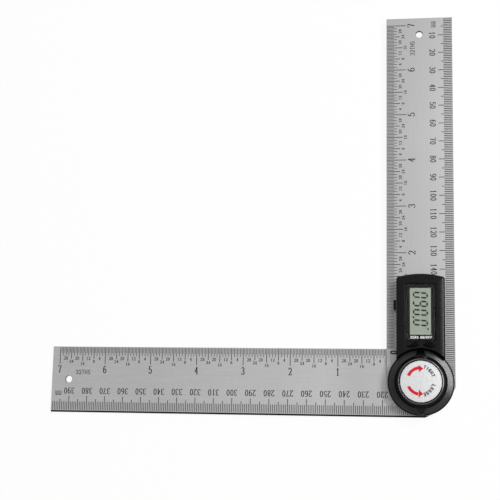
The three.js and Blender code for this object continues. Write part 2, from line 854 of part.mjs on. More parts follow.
function button(name, sign) {
  const cap = prism(
    leafOutline(0),
    buttonBottom - BUTTON.topRound,
    moduleTop + BUTTON.proud,
    BUTTON.topRound,
    2,
  );
  const far = BUTTON.length;
  const below = block(-far, far, -far, far, buttonBottom - BUTTON.topRound - CUT_OVERRUN, buttonBottom);
  const half = BUTTON.length / 2 + BUTTON.flangeOverhang;
  const side = (BUTTON.width * BUTTON.flangeWidthShare) / 2;
  const flange = block(-half, half, -side, side, buttonBottom, buttonBottom + BUTTON.flangeThickness);
  return meshOf(name, atButton(cap.subtract(below).add(flange), sign), FINISHES.blackPlastic());
}

// Lock knob
function knobShell() {
  const chamfer = KNOB.flangeChamfer;
  const footTop = knobEdgeTop + KNOB.flangeRise;
  const profile = [
    [0, knobBottom],
    [KNOB.flangeRadius - chamfer, knobBottom],
    [KNOB.flangeRadius, knobBottom + chamfer],
    [KNOB.flangeRadius, knobEdgeTop - chamfer],
    [KNOB.flangeRadius - chamfer, knobEdgeTop],
    [KNOB.footRadius, footTop],
    [KNOB.footRadius - KNOB.footFillet, footTop + KNOB.footFillet],
    [KNOB.topRadius, knobTop - KNOB.rimChamfer],
    [KNOB.topRadius - KNOB.rimChamfer, knobTop],
    [0, knobTop],
  ];
  return turned(profile, SHOWN_SEGMENTS);
}

function wing() {
  const inner = labelRecessRadius;
  const topZ = knobTop - KNOB.wingTopDrop;
  const plan = new THREE.Shape([
    new THREE.Vector2(-KNOB.wingFootHalfWidth, 0),
    new THREE.Vector2(KNOB.wingFootHalfWidth, 0),
    new THREE.Vector2(KNOB.wingFootHalfWidth, KNOB.topRadius),
    new THREE.Vector2(KNOB.wingTipHalfWidth, KNOB.wingReach),
    new THREE.Vector2(-KNOB.wingTipHalfWidth, KNOB.wingReach),
    new THREE.Vector2(-KNOB.wingFootHalfWidth, KNOB.topRadius),
  ]);
  const footprint = prism(plan, knobBottom, knobTop);
  const side = strip(
    [
      [inner, knobBottom + KNOB.flangeChamfer],
      [KNOB.wingReach, knobBottom + KNOB.flangeChamfer],
      [KNOB.wingReach, knobTop - KNOB.wingTipDrop],
      [KNOB.topRadius + KNOB.wingShoulder, topZ],
      [inner, topZ],
    ],
    KNOB.wingFootHalfWidth,
    true,
  );
  return footprint.intersect(side);
}

function lockKnob() {
  const footTop = knobEdgeTop + KNOB.flangeRise;
  const hollowTop = insertTop - KNOB.flangeRise;
  const hollow = turned([
    [KNOB.bossRadius, knobBottom - CUT_OVERRUN],
    [KNOB.footRadius - KNOB.wall, knobBottom - CUT_OVERRUN],
    [KNOB.footRadius - KNOB.wall, footTop - KNOB.flangeRise],
    [KNOB.topRadius - KNOB.wall, hollowTop],
    [KNOB.bossRadius, hollowTop],
    [KNOB.bossRadius, knobBottom - CUT_OVERRUN],
  ]);
  const cuts = [
    hollow,
    rod(KNOB.bossRadius + FACE_GAP, knobBottom - CUT_OVERRUN, insertBottom),
    rod(insertRadius + FACE_GAP, knobBottom, insertTop + FACE_GAP),
    rod(labelRecessRadius, labelFloor, knobTop + CUT_OVERRUN, 0, 0, SHOWN_SEGMENTS),
  ];
  const wings = wing().add(wing().rotate([0, 0, 180]));
  return meshOf('lock_knob', withoutAll(knobShell().add(wings), cuts), FINISHES.blackPlastic());
}

function knobInsert() {
  const middle = (insertBottom + insertTop) / 2;
  const waist = insertRadius - INSERT.grooveDepth;
  const insert = turned([
    [insertBoreRadius, insertBottom],
    [insertRadius, insertBottom],
    [insertRadius, middle - INSERT.grooveHalfHeight],
    [waist, middle - INSERT.grooveHalfHeight],
    [waist, middle + INSERT.grooveHalfHeight],
    [insertRadius, middle + INSERT.grooveHalfHeight],
    [insertRadius, insertTop],
    [insertBoreRadius, insertTop],
    [insertBoreRadius, insertBottom],
  ]);
  return meshOf('knob_insert', insert, FINISHES.brass());
}

function knobLabel() {
  const radius = labelRecessRadius - KNOB.labelGap;
  const bottom = labelFloor + FACE_GAP;
  const label = rod(radius, bottom, bottom + KNOB.labelThickness, 0, 0, SHOWN_SEGMENTS);
  return meshOf('knob_label', label, FINISHES.silverLabel());
}

function knobWasher() {
  const washer = ring(boreRadius, KNOB_WASHER.radius, knobWasherBottom, knobWasherTop);
  return meshOf('knob_washer', washer, FINISHES.brightSteel());
}

// Module screws
function moduleScrew(name, [x, y]) {
  const bottom = upperBottom + RUNNING_GAP;
  const top = bottom + SCREW.length;
  const body = turned(
    [
      [0, bottom],
      [SCREW.headRadius, bottom],
      [SCREW.shankRadius, bottom + SCREW.headHeight],
      [SCREW.shankRadius, top],
      [0, top],
    ],
    FINE_SEGMENTS,
  );
  const arm = SCREW.headRadius / 2;
  const half = SCREW.slotHalfWidth;
  const low = bottom - CUT_OVERRUN;
  const high = bottom + SCREW.slotDepth;
  const slots = [block(-arm, arm, -half, half, low, high), block(-half, half, -arm, arm, low, high)];
  return meshOf(name, withoutAll(body, slots).translate([x, y, 0]), FINISHES.brightSteel());
}

// Assembly
const lowerArm = new THREE.Group();
lowerArm.add(lowerBlade(), pivotStud(), frictionWasher(), rotorHub(), encoderRotor());

const module = new THREE.Group();
module.add(baseCover(), frontHousing(), displayLens(), lcdPanel(), lcdFrame(), contactStrip());
module.add(mainBoard(), driverChip(), sensorRibbon(), encoderStator(), buttonPad());
module.add(negativeContact(), positiveContact(), batteryTray(), coinCell());
module.add(button('zero_button', -1), button('on_off_button', 1));
module.add(...bossPlaces.map((place, index) => moduleScrew(`module_screw_${index + 1}`, place)));

const upperArm = new THREE.Group();
upperArm.add(upperBlade(), pivotBush(), module);

const knob = new THREE.Group();
knob.add(lockKnob(), knobInsert(), knobLabel(), knobWasher());

const angleFinder = new THREE.Group();
angleFinder.add(lowerArm, upperArm, knob);

export default angleFinder;
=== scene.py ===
"""Dresses the digital angle finder: two satin steel rules, a display module and a lock knob."""

import logging
import math
from dataclasses import dataclass, replace
from enum import Enum
from functools import cache

import bmesh
import bpy
from mathutils import Matrix, Vector
from mathutils.geometry import delaunay_2d_cdt


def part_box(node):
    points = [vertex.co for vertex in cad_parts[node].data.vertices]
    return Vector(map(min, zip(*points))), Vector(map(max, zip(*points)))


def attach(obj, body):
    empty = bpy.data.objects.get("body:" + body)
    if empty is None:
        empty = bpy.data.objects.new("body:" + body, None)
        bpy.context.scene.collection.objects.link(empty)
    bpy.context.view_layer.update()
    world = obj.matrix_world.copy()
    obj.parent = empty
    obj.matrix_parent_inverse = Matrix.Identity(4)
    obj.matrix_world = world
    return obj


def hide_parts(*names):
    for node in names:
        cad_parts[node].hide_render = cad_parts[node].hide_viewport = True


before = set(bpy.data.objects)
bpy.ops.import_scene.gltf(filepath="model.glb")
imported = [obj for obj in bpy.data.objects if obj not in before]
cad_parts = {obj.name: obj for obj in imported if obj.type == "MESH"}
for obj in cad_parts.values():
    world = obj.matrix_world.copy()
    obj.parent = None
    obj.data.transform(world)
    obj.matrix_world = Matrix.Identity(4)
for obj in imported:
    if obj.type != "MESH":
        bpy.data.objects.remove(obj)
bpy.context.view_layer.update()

LOG = logging.getLogger("angle_finder")
MM = 0.001
CRISP = 32.0  # degrees between two faces, above which the edge between them stays crisp
MIDDLE = (0.35, 0.65)  # where most of a noise lies
MIDDLE_WIDE = (0.3, 0.7)
Point = tuple[float, float]
Corner = tuple[float, float, float]
Colour = tuple[float, float, float, float]
Flat = tuple[list[Point], list[tuple[int, ...]]]
Socket = bpy.types.NodeSocket


def tone(red: int, green: int, blue: int) -> Colour:
    """Turns a colour as seen on a screen, 0 to 255, into the shader's linear colour.

    Args:
        red: Red share.
        green: Green share.
        blue: Blue share.

    Returns:
        The linear colour with full alpha.
    """

    def linear(share: int) -> float:
        """Undoes the screen curve for one share."""
        level = share / 255
        return level / 12.92 if level <= 0.04045 else ((level + 0.055) / 1.055) ** 2.4

    return (linear(red), linear(green), linear(blue), 1.0)


# Node trees


class Wiring:
    """A node tree, with short ways to add nodes and join them."""

    def __init__(self, tree: bpy.types.NodeTree) -> None:
        """Keeps the tree that the nodes go into."""
        self.tree = tree

    def feed(self, node: bpy.types.Node, inputs: dict) -> None:
        """Sets a node's inputs.

        Args:
            node: The node.
            inputs: Values, or sockets to join, by the input's name or number.
        """
        for name, value in inputs.items():
            if isinstance(value, Socket):
                self.tree.links.new(value, node.inputs[name])
            else:
                node.inputs[name].default_value = value

    def add(self, kind: str, settings: dict | None = None, inputs: dict | None = None) -> bpy.types.Node:
        """Adds a node.

        Args:
            kind: Blender's name for the kind of node.
            settings: Attributes to set, by name.
            inputs: Values, or sockets to join, by the input's name or number.

        Returns:
            The new node.
        """
        node = self.tree.nodes.new(kind)
        for name, value in (settings or {}).items():
            setattr(node, name, value)
        self.feed(node, inputs or {})
        return node

    def maths(
        self, operation: str, first: Socket | float, second: Socket | float = 0.0, clamp: bool = False
    ) -> Socket:
        """Adds a sum of two values.

        Args:
            operation: Blender's name for the sum.
            first: First value.
            second: Second value.
            clamp: Whether the result is kept between 0 and 1.

        Returns:
            The result.
        """
        settings = {"operation": operation, "use_clamp": clamp}
        return self.add("ShaderNodeMath", settings, {0: first, 1: second}).outputs[0]

    def vectors(self, operation: str, first: Socket, second: Socket | Corner | None = None) -> Socket:
        """Adds a sum of two vectors.

        Args:
            operation: Blender's name for the sum.
            first: First vector.
            second: Second vector, where the sum has one.

        Returns:
            The resulting vector, or the value where the sum gives one.
        """
        inputs = {0: first} if second is None else {0: first, 1: second}
        outputs = self.add("ShaderNodeVectorMath", {"operation": operation}, inputs).outputs
        return outputs["Value" if operation in ("DOT_PRODUCT", "LENGTH") else "Vector"]

    def ramp(
        self, value: Socket, low: float, high: float, out_low: float = 0.0, out_high: float = 1.0
    ) -> Socket:
        """Stretches a value from one range to another and clamps it.

        Args:
            value: The value to stretch.
            low: Where the range starts.
            high: Where the range ends.
            out_low: Result at the start.
            out_high: Result at the end.

        Returns:
            The stretched value.
        """
        inputs = {0: value, 1: low, 2: high, 3: out_low, 4: out_high}
        return self.add("ShaderNodeMapRange", {"clamp": True}, inputs).outputs[0]

    def blend(self, share: Socket, first: Socket | Colour, second: Socket | Colour) -> Socket:
        """Mixes two colours.

        Args:
            share: How much of the second colour shows.
            first: Colour at 0.
            second: Colour at 1.

        Returns:
            The mixed colour.
        """
        return self.add("ShaderNodeMix", {"data_type": "RGBA"}, {0: share, 6: first, 7: second}).outputs[2]

    def noise(self, place: Socket, scale: Socket | float, detail: float = 2.0) -> Socket:
        """Adds a cloudy pattern.

        Args:
            place: Where on the piece it is read.
            scale: Clouds in a metre.
            detail: How many finer layers it has.

        Returns:
            The pattern, from 0 to 1.
        """
        inputs = {"Vector": place, "Scale": scale, "Detail": detail}
        return self.add("ShaderNodeTexNoise", inputs=inputs).outputs[0]

    def place(self) -> Socket:
        """The place on the piece, in metres."""
        return self.add("ShaderNodeTexCoord").outputs["Object"]

    def facing(self) -> Socket:
        """The direction that the surface faces."""
        return self.add("ShaderNodeNewGeometry").outputs["Normal"]

    def axes(self, vector: Socket) -> bpy.types.NodeOutputs:
        """The three parts of a vector, by their letters."""
        return self.add("ShaderNodeSeparateXYZ", inputs={0: vector}).outputs

    def effect(self, group: bpy.types.NodeTree, **inputs: Socket | float | tuple) -> bpy.types.NodeOutputs:
        """Places a shared effect.

        Args:
            group: The effect.
            **inputs: Its inputs, by their names in small letters.

        Returns:
            Its outputs, by name.
        """
        node = self.add("ShaderNodeGroup", {"node_tree": group})
        self.feed(node, {name.title(): value for name, value in inputs.items()})
        return node.outputs


class Effects:
    """The shader effects that several finishes share, each built once."""

    @staticmethod
    def _start(name: str, inputs: dict[str, tuple], outputs: dict[str, str]) -> tuple:
        """Makes an empty effect with its sockets.

        Args:
            name: Name of the effect.
            inputs: For each input, its kind of socket and its usual value.
            outputs: For each output, its kind of socket.

        Returns:
            The wiring, the input sockets by name, and the node that takes the outputs.
        """
        tree = bpy.data.node_groups.new(name, "ShaderNodeTree")
        for label, (kind, value) in inputs.items():
            socket = tree.interface.new_socket(label, in_out="INPUT", socket_type=f"NodeSocket{kind}")
            socket.default_value = value
        for label, kind in outputs.items():
            tree.interface.new_socket(label, in_out="OUTPUT", socket_type=f"NodeSocket{kind}")
        wiring = Wiring(tree)
        return wiring, wiring.add("NodeGroupInput").outputs, wiring.add("NodeGroupOutput")

    @classmethod
    @cache
    def grinding(cls) -> bpy.types.NodeTree:
        """Fine lines that run one way, with speckle and slow cloudiness.

        Returns:
            The effect.
        """
        inputs = {
            "Stretch": ("Vector", (40.0, 4000.0, 400.0)),
            "Speckle": ("Float", 1500.0),
            "Cloud": ("Float", 14.0),
        }
        outputs = {"Shade": "Float", "Height": "Float", "Cloud": "Float"}
        wiring, given, out = cls._start("grinding_lines", inputs, outputs)
        place = wiring.place()
        lines = wiring.noise(wiring.vectors("MULTIPLY", place, given["Stretch"]), 1.0, 3.0)
        dots = wiring.noise(place, given["Speckle"])
        cloud = wiring.ramp(wiring.noise(place, given["Cloud"]), *MIDDLE)
        shade = wiring.maths("ADD", wiring.maths("MULTIPLY", lines, 0.6), wiring.maths("MULTIPLY", dots, 0.4))
        wiring.feed(out, {"Shade": wiring.ramp(shade, *MIDDLE_WIDE), "Height": lines, "Cloud": cloud})
        return wiring.tree

    @classmethod
    @cache
    def moulding(cls) -> bpy.types.NodeTree:
        """The fine pebble that a spark-eroded mould leaves.

        Returns:
            The effect.
        """
        inputs = {"Scale": ("Float", 3000.0)}
        wiring, given, out = cls._start("moulded_texture", inputs, {"Shade": "Float", "Height": "Float"})
        place = wiring.place()
        inputs = {"Vector": place, "Scale": given["Scale"]}
        pebble = wiring.add("ShaderNodeTexVoronoi", {"feature": "SMOOTH_F1"}, inputs).outputs["Distance"]
        grain = wiring.noise(place, given["Scale"], 3.0)
        height = wiring.maths("ADD", pebble, grain)
        wiring.feed(out, {"Shade": wiring.ramp(grain, *MIDDLE), "Height": height})
        return wiring.tree

    @classmethod
    @cache
    def edge_wear(cls) -> bpy.types.NodeTree:
        """Where corners are painted lighter, as rubbed wear and as painted highlight, and the softened normal
        of those corners.

        Returns:
            The effect.
        """
        inputs = {"Radius": ("Float", 0.2 * MM), "Gain": ("Float", 3.0)}
        wiring, given, out = cls._start("edge_wear", inputs, {"Mask": "Float", "Normal": "Vector"})
        soft = wiring.add("ShaderNodeBevel", {"samples": 6}, {"Radius": given["Radius"]}).outputs[0]
        match = wiring.vectors("DOT_PRODUCT", soft, wiring.facing())
        turned_away = wiring.maths("MULTIPLY", wiring.maths("SUBTRACT", 1.0, match), given["Gain"])
        breakup = wiring.ramp(wiring.noise(wiring.place(), 700.0, 3.0), 0.35, 0.6)
        mask = wiring.maths("MULTIPLY", turned_away, breakup, clamp=True)
        wiring.feed(out, {"Mask": mask, "Normal": soft})
        return wiring.tree

    @classmethod
    @cache
    def handling(cls) -> bpy.types.NodeTree:
        """A thin uneven film of dust and finger marks on faces that look up.

        Returns:
            The effect.
        """
        inputs = {"Scale": ("Float", 160.0), "Cover": ("Float", 0.5)}
        wiring, given, out = cls._start("handling_film", inputs, {"Mask": "Float"})
        patch = wiring.ramp(wiring.noise(wiring.place(), given["Scale"], 6.0), 0.4, 0.75)
        upward = wiring.ramp(wiring.axes(wiring.facing())["Z"], 0.2, 0.9)
        mask = wiring.maths("MULTIPLY", patch, upward)
        wiring.feed(out, {"Mask": wiring.maths("MULTIPLY", mask, given["Cover"])})
        return wiring.tree

    @classmethod
    @cache
    def turning(cls) -> bpy.types.NodeTree:
        """Rings that a lathe tool leaves round an upright axis.

        Returns:
            The effect.
        """
        inputs = {"Centre": ("Vector", (0.0, 0.0, 0.0)), "Pitch": ("Float", 0.15 * MM)}
        wiring, given, out = cls._start("turning_rings", inputs, {"Shade": "Float", "Height": "Float"})
        moved = wiring.vectors("SUBTRACT", wiring.place(), given["Centre"])
        radius = wiring.vectors("LENGTH", wiring.vectors("MULTIPLY", moved, (1.0, 1.0, 0.0)))
        count = wiring.maths("DIVIDE", radius, given["Pitch"])
        inputs = {"W": count, "Scale": 1.0, "Detail": 2.0}
        rings = wiring.add("ShaderNodeTexNoise", {"noise_dimensions": "1D"}, inputs).outputs[0]
        wiring.feed(out, {"Shade": wiring.ramp(rings, *MIDDLE_WIDE), "Height": rings})
        return wiring.tree


# Finishes


class Finish:
    """What every finish does: it starts from a bare shader and may add a bump."""

    name: str

    def start(self) -> tuple[bpy.types.Material, Wiring, bpy.types.Node]:
        """Makes a material that holds only a Principled shader.

        Returns:
            The material, its wiring and the shader.
        """
        material = bpy.data.materials.new(f"finish_{self.name}")
        material.use_nodes = True
        nodes = material.node_tree.nodes
        shader = next(node for node in nodes if node.type == "BSDF_PRINCIPLED")
        return material, Wiring(material.node_tree), shader

    @staticmethod
    def bump(wiring: Wiring, height: Socket, depth: float, normal: Socket | None = None) -> Socket:
        """Adds a bump.

        Args:
            wiring: The material's wiring.
            height: The height pattern.
            depth: Height of the pattern in millimetres.
            normal: A softened normal to build on, if there is one.

        Returns:
            The normal that the shader takes.
        """
        inputs = {"Height": height, "Distance": depth * MM, "Strength": 1.0}
        if normal is not None:
            inputs["Normal"] = normal
        return wiring.add("ShaderNodeBump", inputs=inputs).outputs[0]

    @staticmethod
    def show_instead(wiring: Wiring, share: Socket, shader: bpy.types.Node, other: bpy.types.Node) -> None:
        """Puts another shader in place of the main one for some light.

        Args:
            wiring: The material's wiring.
            share: Where it is one, the other shader shows.
            shader: The main shader.
            other: The other shader.
        """
        inputs = {0: share, 1: shader.outputs[0], 2: other.outputs[0]}
        mixed = wiring.add("ShaderNodeMixShader", inputs=inputs).outputs[0]
        output = next(node for node in wiring.tree.nodes if node.type == "OUTPUT_MATERIAL")
        wiring.feed(output, {"Surface": mixed})


class Run(Enum):
    """Which way a rule was ground."""

    ALONG_X = (45.0, 5200.0, 900.0)
    ALONG_Y = (5200.0, 45.0, 900.0)


@dataclass(frozen=True)
class RuleSteel(Finish):
    """Satin stainless steel, ground along the rule, with painted shade on its sawn edges."""

    name: str
    run: Run
    light: Colour = tone(180, 180, 181)
    dull: Colour = tone(154, 154, 155)
    # painted shade on the sawn edges, and on the lower rule's -Y ground bevel
    edge: Colour = tone(10, 10, 11)
    # painted shade that the knob and module cast on the lower rule near the pivot
    handled: Colour = tone(120, 120, 121)
    bevel_from: float | None = None  # millimetres, where the painted shade on the ground edge starts on -Y
    bevel_soft: float = 0.04
    handled_from: float = -52.0  # millimetres along X, where the painted shade near the knob starts on the steel
    handled_past: float = -34.0
    handled_share: float = 0.0
    roughness: float = 0.36
    edge_roughness: float = 0.7
    gloss: float = 0.1
    depth: float = 0.002
    speckle: float = 1500.0
    clouds: float = 16.0
    clouding: float = 0.25
    sides: Point = (0.75, 0.35)  # the normal's upright part on a face and on a sawn edge

    @cache
    def material(self) -> bpy.types.Material:
        """Builds the steel.

        Returns:
            The material.
        """
        material, wiring, shader = self.start()
        inputs = {"stretch": self.run.value, "speckle": self.speckle, "cloud": self.clouds}
        grain = wiring.effect(Effects.grinding(), **inputs)
        face = wiring.blend(grain["Shade"], self.dull, self.light)
        face = wiring.blend(wiring.maths("MULTIPLY", grain["Cloud"], self.clouding), face, self.dull)
        # painted shade: faces that stand upright, the sawn edges, take the dark edge colour
        upright = wiring.axes(wiring.facing())["Z"]
        side = wiring.ramp(wiring.maths("ABSOLUTE", upright), *self.sides)
        place = wiring.axes(wiring.place())
        # painted shade: the steel darkens towards the knob
        start, past = self.handled_from * MM, self.handled_past * MM
        face = wiring.blend(wiring.ramp(place["X"], start, past, 0.0, self.handled_share), face, self.handled)
        # painted shade on the lower rule's -Y ground bevel
        if self.bevel_from is not None:
            inner, outer = (self.bevel_from + self.bevel_soft) * MM, (self.bevel_from - self.bevel_soft) * MM
            side = wiring.maths("MAXIMUM", side, wiring.ramp(place["Y"], inner, outer))
        rough = wiring.ramp(grain["Shade"], 0.0, 1.0, self.roughness + 0.05, self.roughness - 0.04)
        side_rough = wiring.maths("MULTIPLY", side, self.edge_roughness)
        inputs = {
            "Base Color": wiring.blend(side, face, self.edge),
            "Roughness": wiring.maths("MAXIMUM", rough, side_rough),
            "Metallic": wiring.ramp(side, 0.0, 1.0, 1.0, 0.0),
            "Specular IOR Level": self.gloss,
            "Normal": self.bump(wiring, grain["Height"], self.depth),
        }
        wiring.feed(shader, inputs)
        return material


@dataclass(frozen=True)
class TurnedMetal(Finish):
    """Metal with lathe rings, a little stained."""

    name: str
    bright: Colour
    stain: Colour
    roughness: float = 0.26
    centre: Point = (0.0, 0.0)
    pitch: float = 0.18
    depth: float = 0.003
    film: float = 220.0
    cover: float = 0.8

    @cache
    def material(self) -> bpy.types.Material:
        """Builds the metal.

        Returns:
            The material.
        """
        material, wiring, shader = self.start()
        centre = (self.centre[0] * MM, self.centre[1] * MM, 0.0)
        rings = wiring.effect(Effects.turning(), centre=centre, pitch=self.pitch * MM)
        film = wiring.effect(Effects.handling(), scale=self.film, cover=self.cover)
        face = wiring.blend(rings["Shade"], self.bright, self.stain)
        inputs = {
            "Base Color": wiring.blend(film["Mask"], face, self.stain),
            "Roughness": wiring.ramp(rings["Shade"], 0.0, 1.0, self.roughness, self.roughness + 0.12),
            "Metallic": 1.0,
            "Normal": self.bump(wiring, rings["Height"], self.depth),
        }
        wiring.feed(shader, inputs)
        return material


@dataclass(frozen=True)
class Moulded(Finish):
    """Moulded plastic or rubber: fine pebble, corners lightened by wear and by painted highlight, a film of
    dust.
    """

    name: str
    colour: Colour
    # lighter colour of the rubbed edges, partly wear and partly painted highlight
    worn: Colour
    dust: Colour = tone(120, 120, 124)
    roughness: float = 0.42
    gloss: float = 0.3  # the shader's specular level
    pebble: float = 2600.0
    depth: float = 0.008  # millimetres
    wear: float = 2.0
    wear_radius: float = 0.25
    film: float = 170.0
    cover: float = 0.06
    hollows: float = 0.8  # how dark the pebble's hollows are beside the plain colour

    @cache
    def material(self) -> bpy.types.Material:
        """Builds the plastic.

        Returns:
            The material.
        """
        material, wiring, shader = self.start()
        texture = wiring.effect(Effects.moulding(), scale=self.pebble)
        wear = wiring.effect(Effects.edge_wear(), radius=self.wear_radius * MM, gain=self.wear)
        film = wiring.effect(Effects.handling(), scale=self.film, cover=self.cover)
        deep = tuple(share * self.hollows for share in self.colour[:3]) + (1.0,)
        face = wiring.blend(texture["Shade"], deep, self.colour)
        face = wiring.blend(wear["Mask"], face, self.worn)
        low, high = self.roughness - 0.05, self.roughness + 0.07
        inputs = {
            "Base Color": wiring.blend(film["Mask"], face, self.dust),
            "Roughness": wiring.ramp(texture["Shade"], 0.0, 1.0, low, high),
            "Specular IOR Level": self.gloss,
            "Normal": self.bump(wiring, texture["Height"], self.depth, wear["Normal"]),
        }
        wiring.feed(shader, inputs)
        return material


@dataclass(frozen=True)
class Ink(Finish):
    """A printed or etched colour, thinner in places."""

    name: str
    full: Colour
    thin: Colour
    roughness: float = 0.5
    gloss: float = 0.1
    patch: float = 900.0
    mottle: float = 0.35
    cover: float = 0.6

    @cache
    def material(self) -> bpy.types.Material:
        """Builds the ink.

        Returns:
            The material.
        """
        material, wiring, shader = self.start()
        texture = wiring.effect(Effects.moulding(), scale=self.patch)["Shade"]
        film = wiring.effect(Effects.handling(), scale=self.patch, cover=self.cover)["Mask"]
        share = wiring.maths("MAXIMUM", wiring.maths("MULTIPLY", texture, self.mottle), film)
        inputs = {
            "Base Color": wiring.blend(share, self.full, self.thin),
            "Roughness": wiring.ramp(texture, 0.0, 1.0, self.roughness, self.roughness + 0.1),
            "Specular IOR Level": self.gloss,
        }
        wiring.feed(shader, inputs)
        return material


@dataclass(frozen=True)
class Foil(Finish):
    """Silver label foil with a fine sparkle and a faint turned sheen."""

    name: str
    light: Colour = tone(214, 214, 215)
    shade: Colour = tone(182, 182, 184)
    roughness: float = 0.4
    metallic: float = 0.08
    sparkle: float = 1400.0
    pitch: float = 0.4
    depth: float = 0.002

    @cache
    def material(self) -> bpy.types.Material:
        """Builds the foil.

        Returns:
            The material.
        """
        material, wiring, shader = self.start()
        texture = wiring.effect(Effects.moulding(), scale=self.sparkle)
        rings = wiring.effect(Effects.turning(), pitch=self.pitch * MM)["Shade"]
        share = wiring.maths("MULTIPLY", texture["Shade"], rings)
        low, high = self.roughness - 0.06, self.roughness + 0.08
        inputs = {
            "Base Color": wiring.blend(share, self.light, self.shade),
            "Roughness": wiring.ramp(texture["Shade"], 0.0, 1.0, low, high),
            "Metallic": self.metallic,
            "Normal": self.bump(wiring, texture["Height"], self.depth),
        }
        wiring.feed(shader, inputs)
        return material


@dataclass(frozen=True)
class DisplayGlass(Finish):
    """The grey-green face of the display, a little lighter towards its edges."""

    name: str
    middle: Colour = tone(140, 149, 137)
    rim: Colour = tone(150, 159, 145)
    centre: Point = (0.0, 36.65)
    half: Point = (5.5, 12.3)
    rim_width: float = 1.6
    grain: float = 5200.0
    grain_share: float = 0.12
    roughness: Point = (0.25, 0.34)

    @cache
    def material(self) -> bpy.types.Material:
        """Builds the display face.

        Returns:
            The material.
        """
        material, wiring, shader = self.start()
        place = wiring.axes(wiring.place())
        edges = []
        for axis, middle, half in zip("XY", self.centre, self.half):
            away = wiring.maths("ABSOLUTE", wiring.maths("SUBTRACT", place[axis], middle * MM))
            edges.append(wiring.ramp(away, (half - self.rim_width) * MM, half * MM))
        texture = wiring.effect(Effects.moulding(), scale=self.grain)["Shade"]
        share = wiring.maths("MAXIMUM", edges[0], edges[1])
        share = wiring.maths("ADD", share, wiring.maths("MULTIPLY", texture, self.grain_share), clamp=True)
        rough = wiring.ramp(texture, 0.0, 1.0, *self.roughness)
        wiring.feed(shader, {"Base Color": wiring.blend(share, self.middle, self.rim), "Roughness": rough})
        return material


def backdrop_rays(wiring: Wiring) -> Socket:
    """One where the camera, a mirror or clear glass looks at the backdrop.

    Args:
        wiring: The backdrop's wiring.

    Returns:
        The share, 0 or 1.
    """
    path = wiring.add("ShaderNodeLightPath").outputs
    shiny = wiring.maths("MAXIMUM", path["Is Glossy Ray"], path["Is Transmission Ray"])
    return wiring.maths("MAXIMUM", path["Is Camera Ray"], shiny)


@dataclass(frozen=True)
class Paper(Finish):
    """Pale backdrop paper, white to the eye but still taking a shadow."""

    name: str
    light: Colour = (0.9, 0.9, 0.9, 1.0)
    dark: Colour = (0.86, 0.86, 0.86, 1.0)
    fibre: float = 400.0
    roughness: float = 0.9
    glow: float = 0.93

    @cache
    def material(self) -> bpy.types.Material:
        """Builds the paper.

        Returns:
            The material.
        """
        material, wiring, shader = self.start()
        face = wiring.blend(wiring.noise(wiring.place(), self.fibre), self.dark, self.light)
        wiring.feed(shader, {"Base Color": face, "Roughness": self.roughness, "Specular IOR Level": 0.0})
        white = wiring.add("ShaderNodeEmission", inputs={"Color": (1, 1, 1, 1), "Strength": 1.0})
        share = wiring.maths("MULTIPLY", backdrop_rays(wiring), self.glow)
        self.show_instead(wiring, share, shader, white)
        return material


@dataclass(frozen=True)
class ClearLens(Finish):
    """Clear acrylic with light hairline scratches, which lets the lamps through to the display."""

    name: str
    tint: Colour = (0.97, 0.98, 0.97, 1.0)
    roughness: float = 0.03
    index: float = 1.16  # low, so that the window stays easy to read
    scratches: Corner = (900.0, 120.0, 120.0)
    depth: float = 0.0004

    @cache
    def material(self) -> bpy.types.Material:
        """Builds the acrylic.

        Returns:
            The material.
        """
        material, wiring, shader = self.start()
        grain = wiring.effect(Effects.grinding(), stretch=self.scratches, speckle=900.0, cloud=90.0)
        inputs = {
            "Base Color": self.tint,
            "Roughness": wiring.ramp(grain["Shade"], 0.75, 1.0, self.roughness, self.roughness + 0.12),
            "Transmission Weight": 1.0,
            "IOR": self.index,
            "Normal": self.bump(wiring, grain["Height"], self.depth),
        }
        wiring.feed(shader, inputs)
        path = wiring.add("ShaderNodeLightPath").outputs
        lit = wiring.maths("MAXIMUM", path["Is Shadow Ray"], path["Is Diffuse Ray"])
        self.show_instead(wiring, lit, shader, wiring.add("ShaderNodeBsdfTransparent"))
        return material


STEEL_X = RuleSteel("rule_steel_x", Run.ALONG_X, bevel_from=-16.9, handled_share=0.28)
# the upper rule is the same steel as the lower, its colours set darker as painted shade
STEEL_Y = RuleSteel("rule_steel_y", Run.ALONG_Y, light=tone(157, 157, 158), dull=tone(134, 134, 135))
BRIGHT = TurnedMetal("bright_steel", tone(214, 215, 218), tone(176, 177, 180))
BRASS = TurnedMetal("brass", tone(206, 170, 92), tone(160, 124, 62), 0.3)
CELL_STEEL = TurnedMetal(
    "cell_steel", tone(220, 221, 224), tone(188, 189, 193), 0.22, centre=(-0.9, 39.9), pitch=0.3
)
SCREW_STEEL = TurnedMetal("screw_steel", tone(206, 207, 210), tone(150, 151, 154), 0.28)
HOUSING_BLACK = Moulded(
    "housing_black", tone(4, 4, 4), tone(30, 30, 31), roughness=0.23, gloss=0.135, cover=0.01
)
KNOB_BLACK = Moulded(
    "knob_black", tone(7, 7, 7), tone(20, 20, 21), roughness=0.34, gloss=0.04, cover=0.008
)
# its light edge colour on the wings and the flange roll is mostly painted highlight
KNOB_WING = Moulded(
    "knob_wing", tone(6, 6, 6), tone(70, 70, 71), roughness=0.2, gloss=0.07, wear=3.0, cover=0.01
)
# the flange is the knob's own black plastic, coloured lighter than the hub as painted light, with a satin
# finish
KNOB_SATIN = Moulded(
    "knob_satin", tone(36, 36, 37), tone(76, 76, 77), roughness=0.22, gloss=0.24, depth=0.01, cover=0.02
)
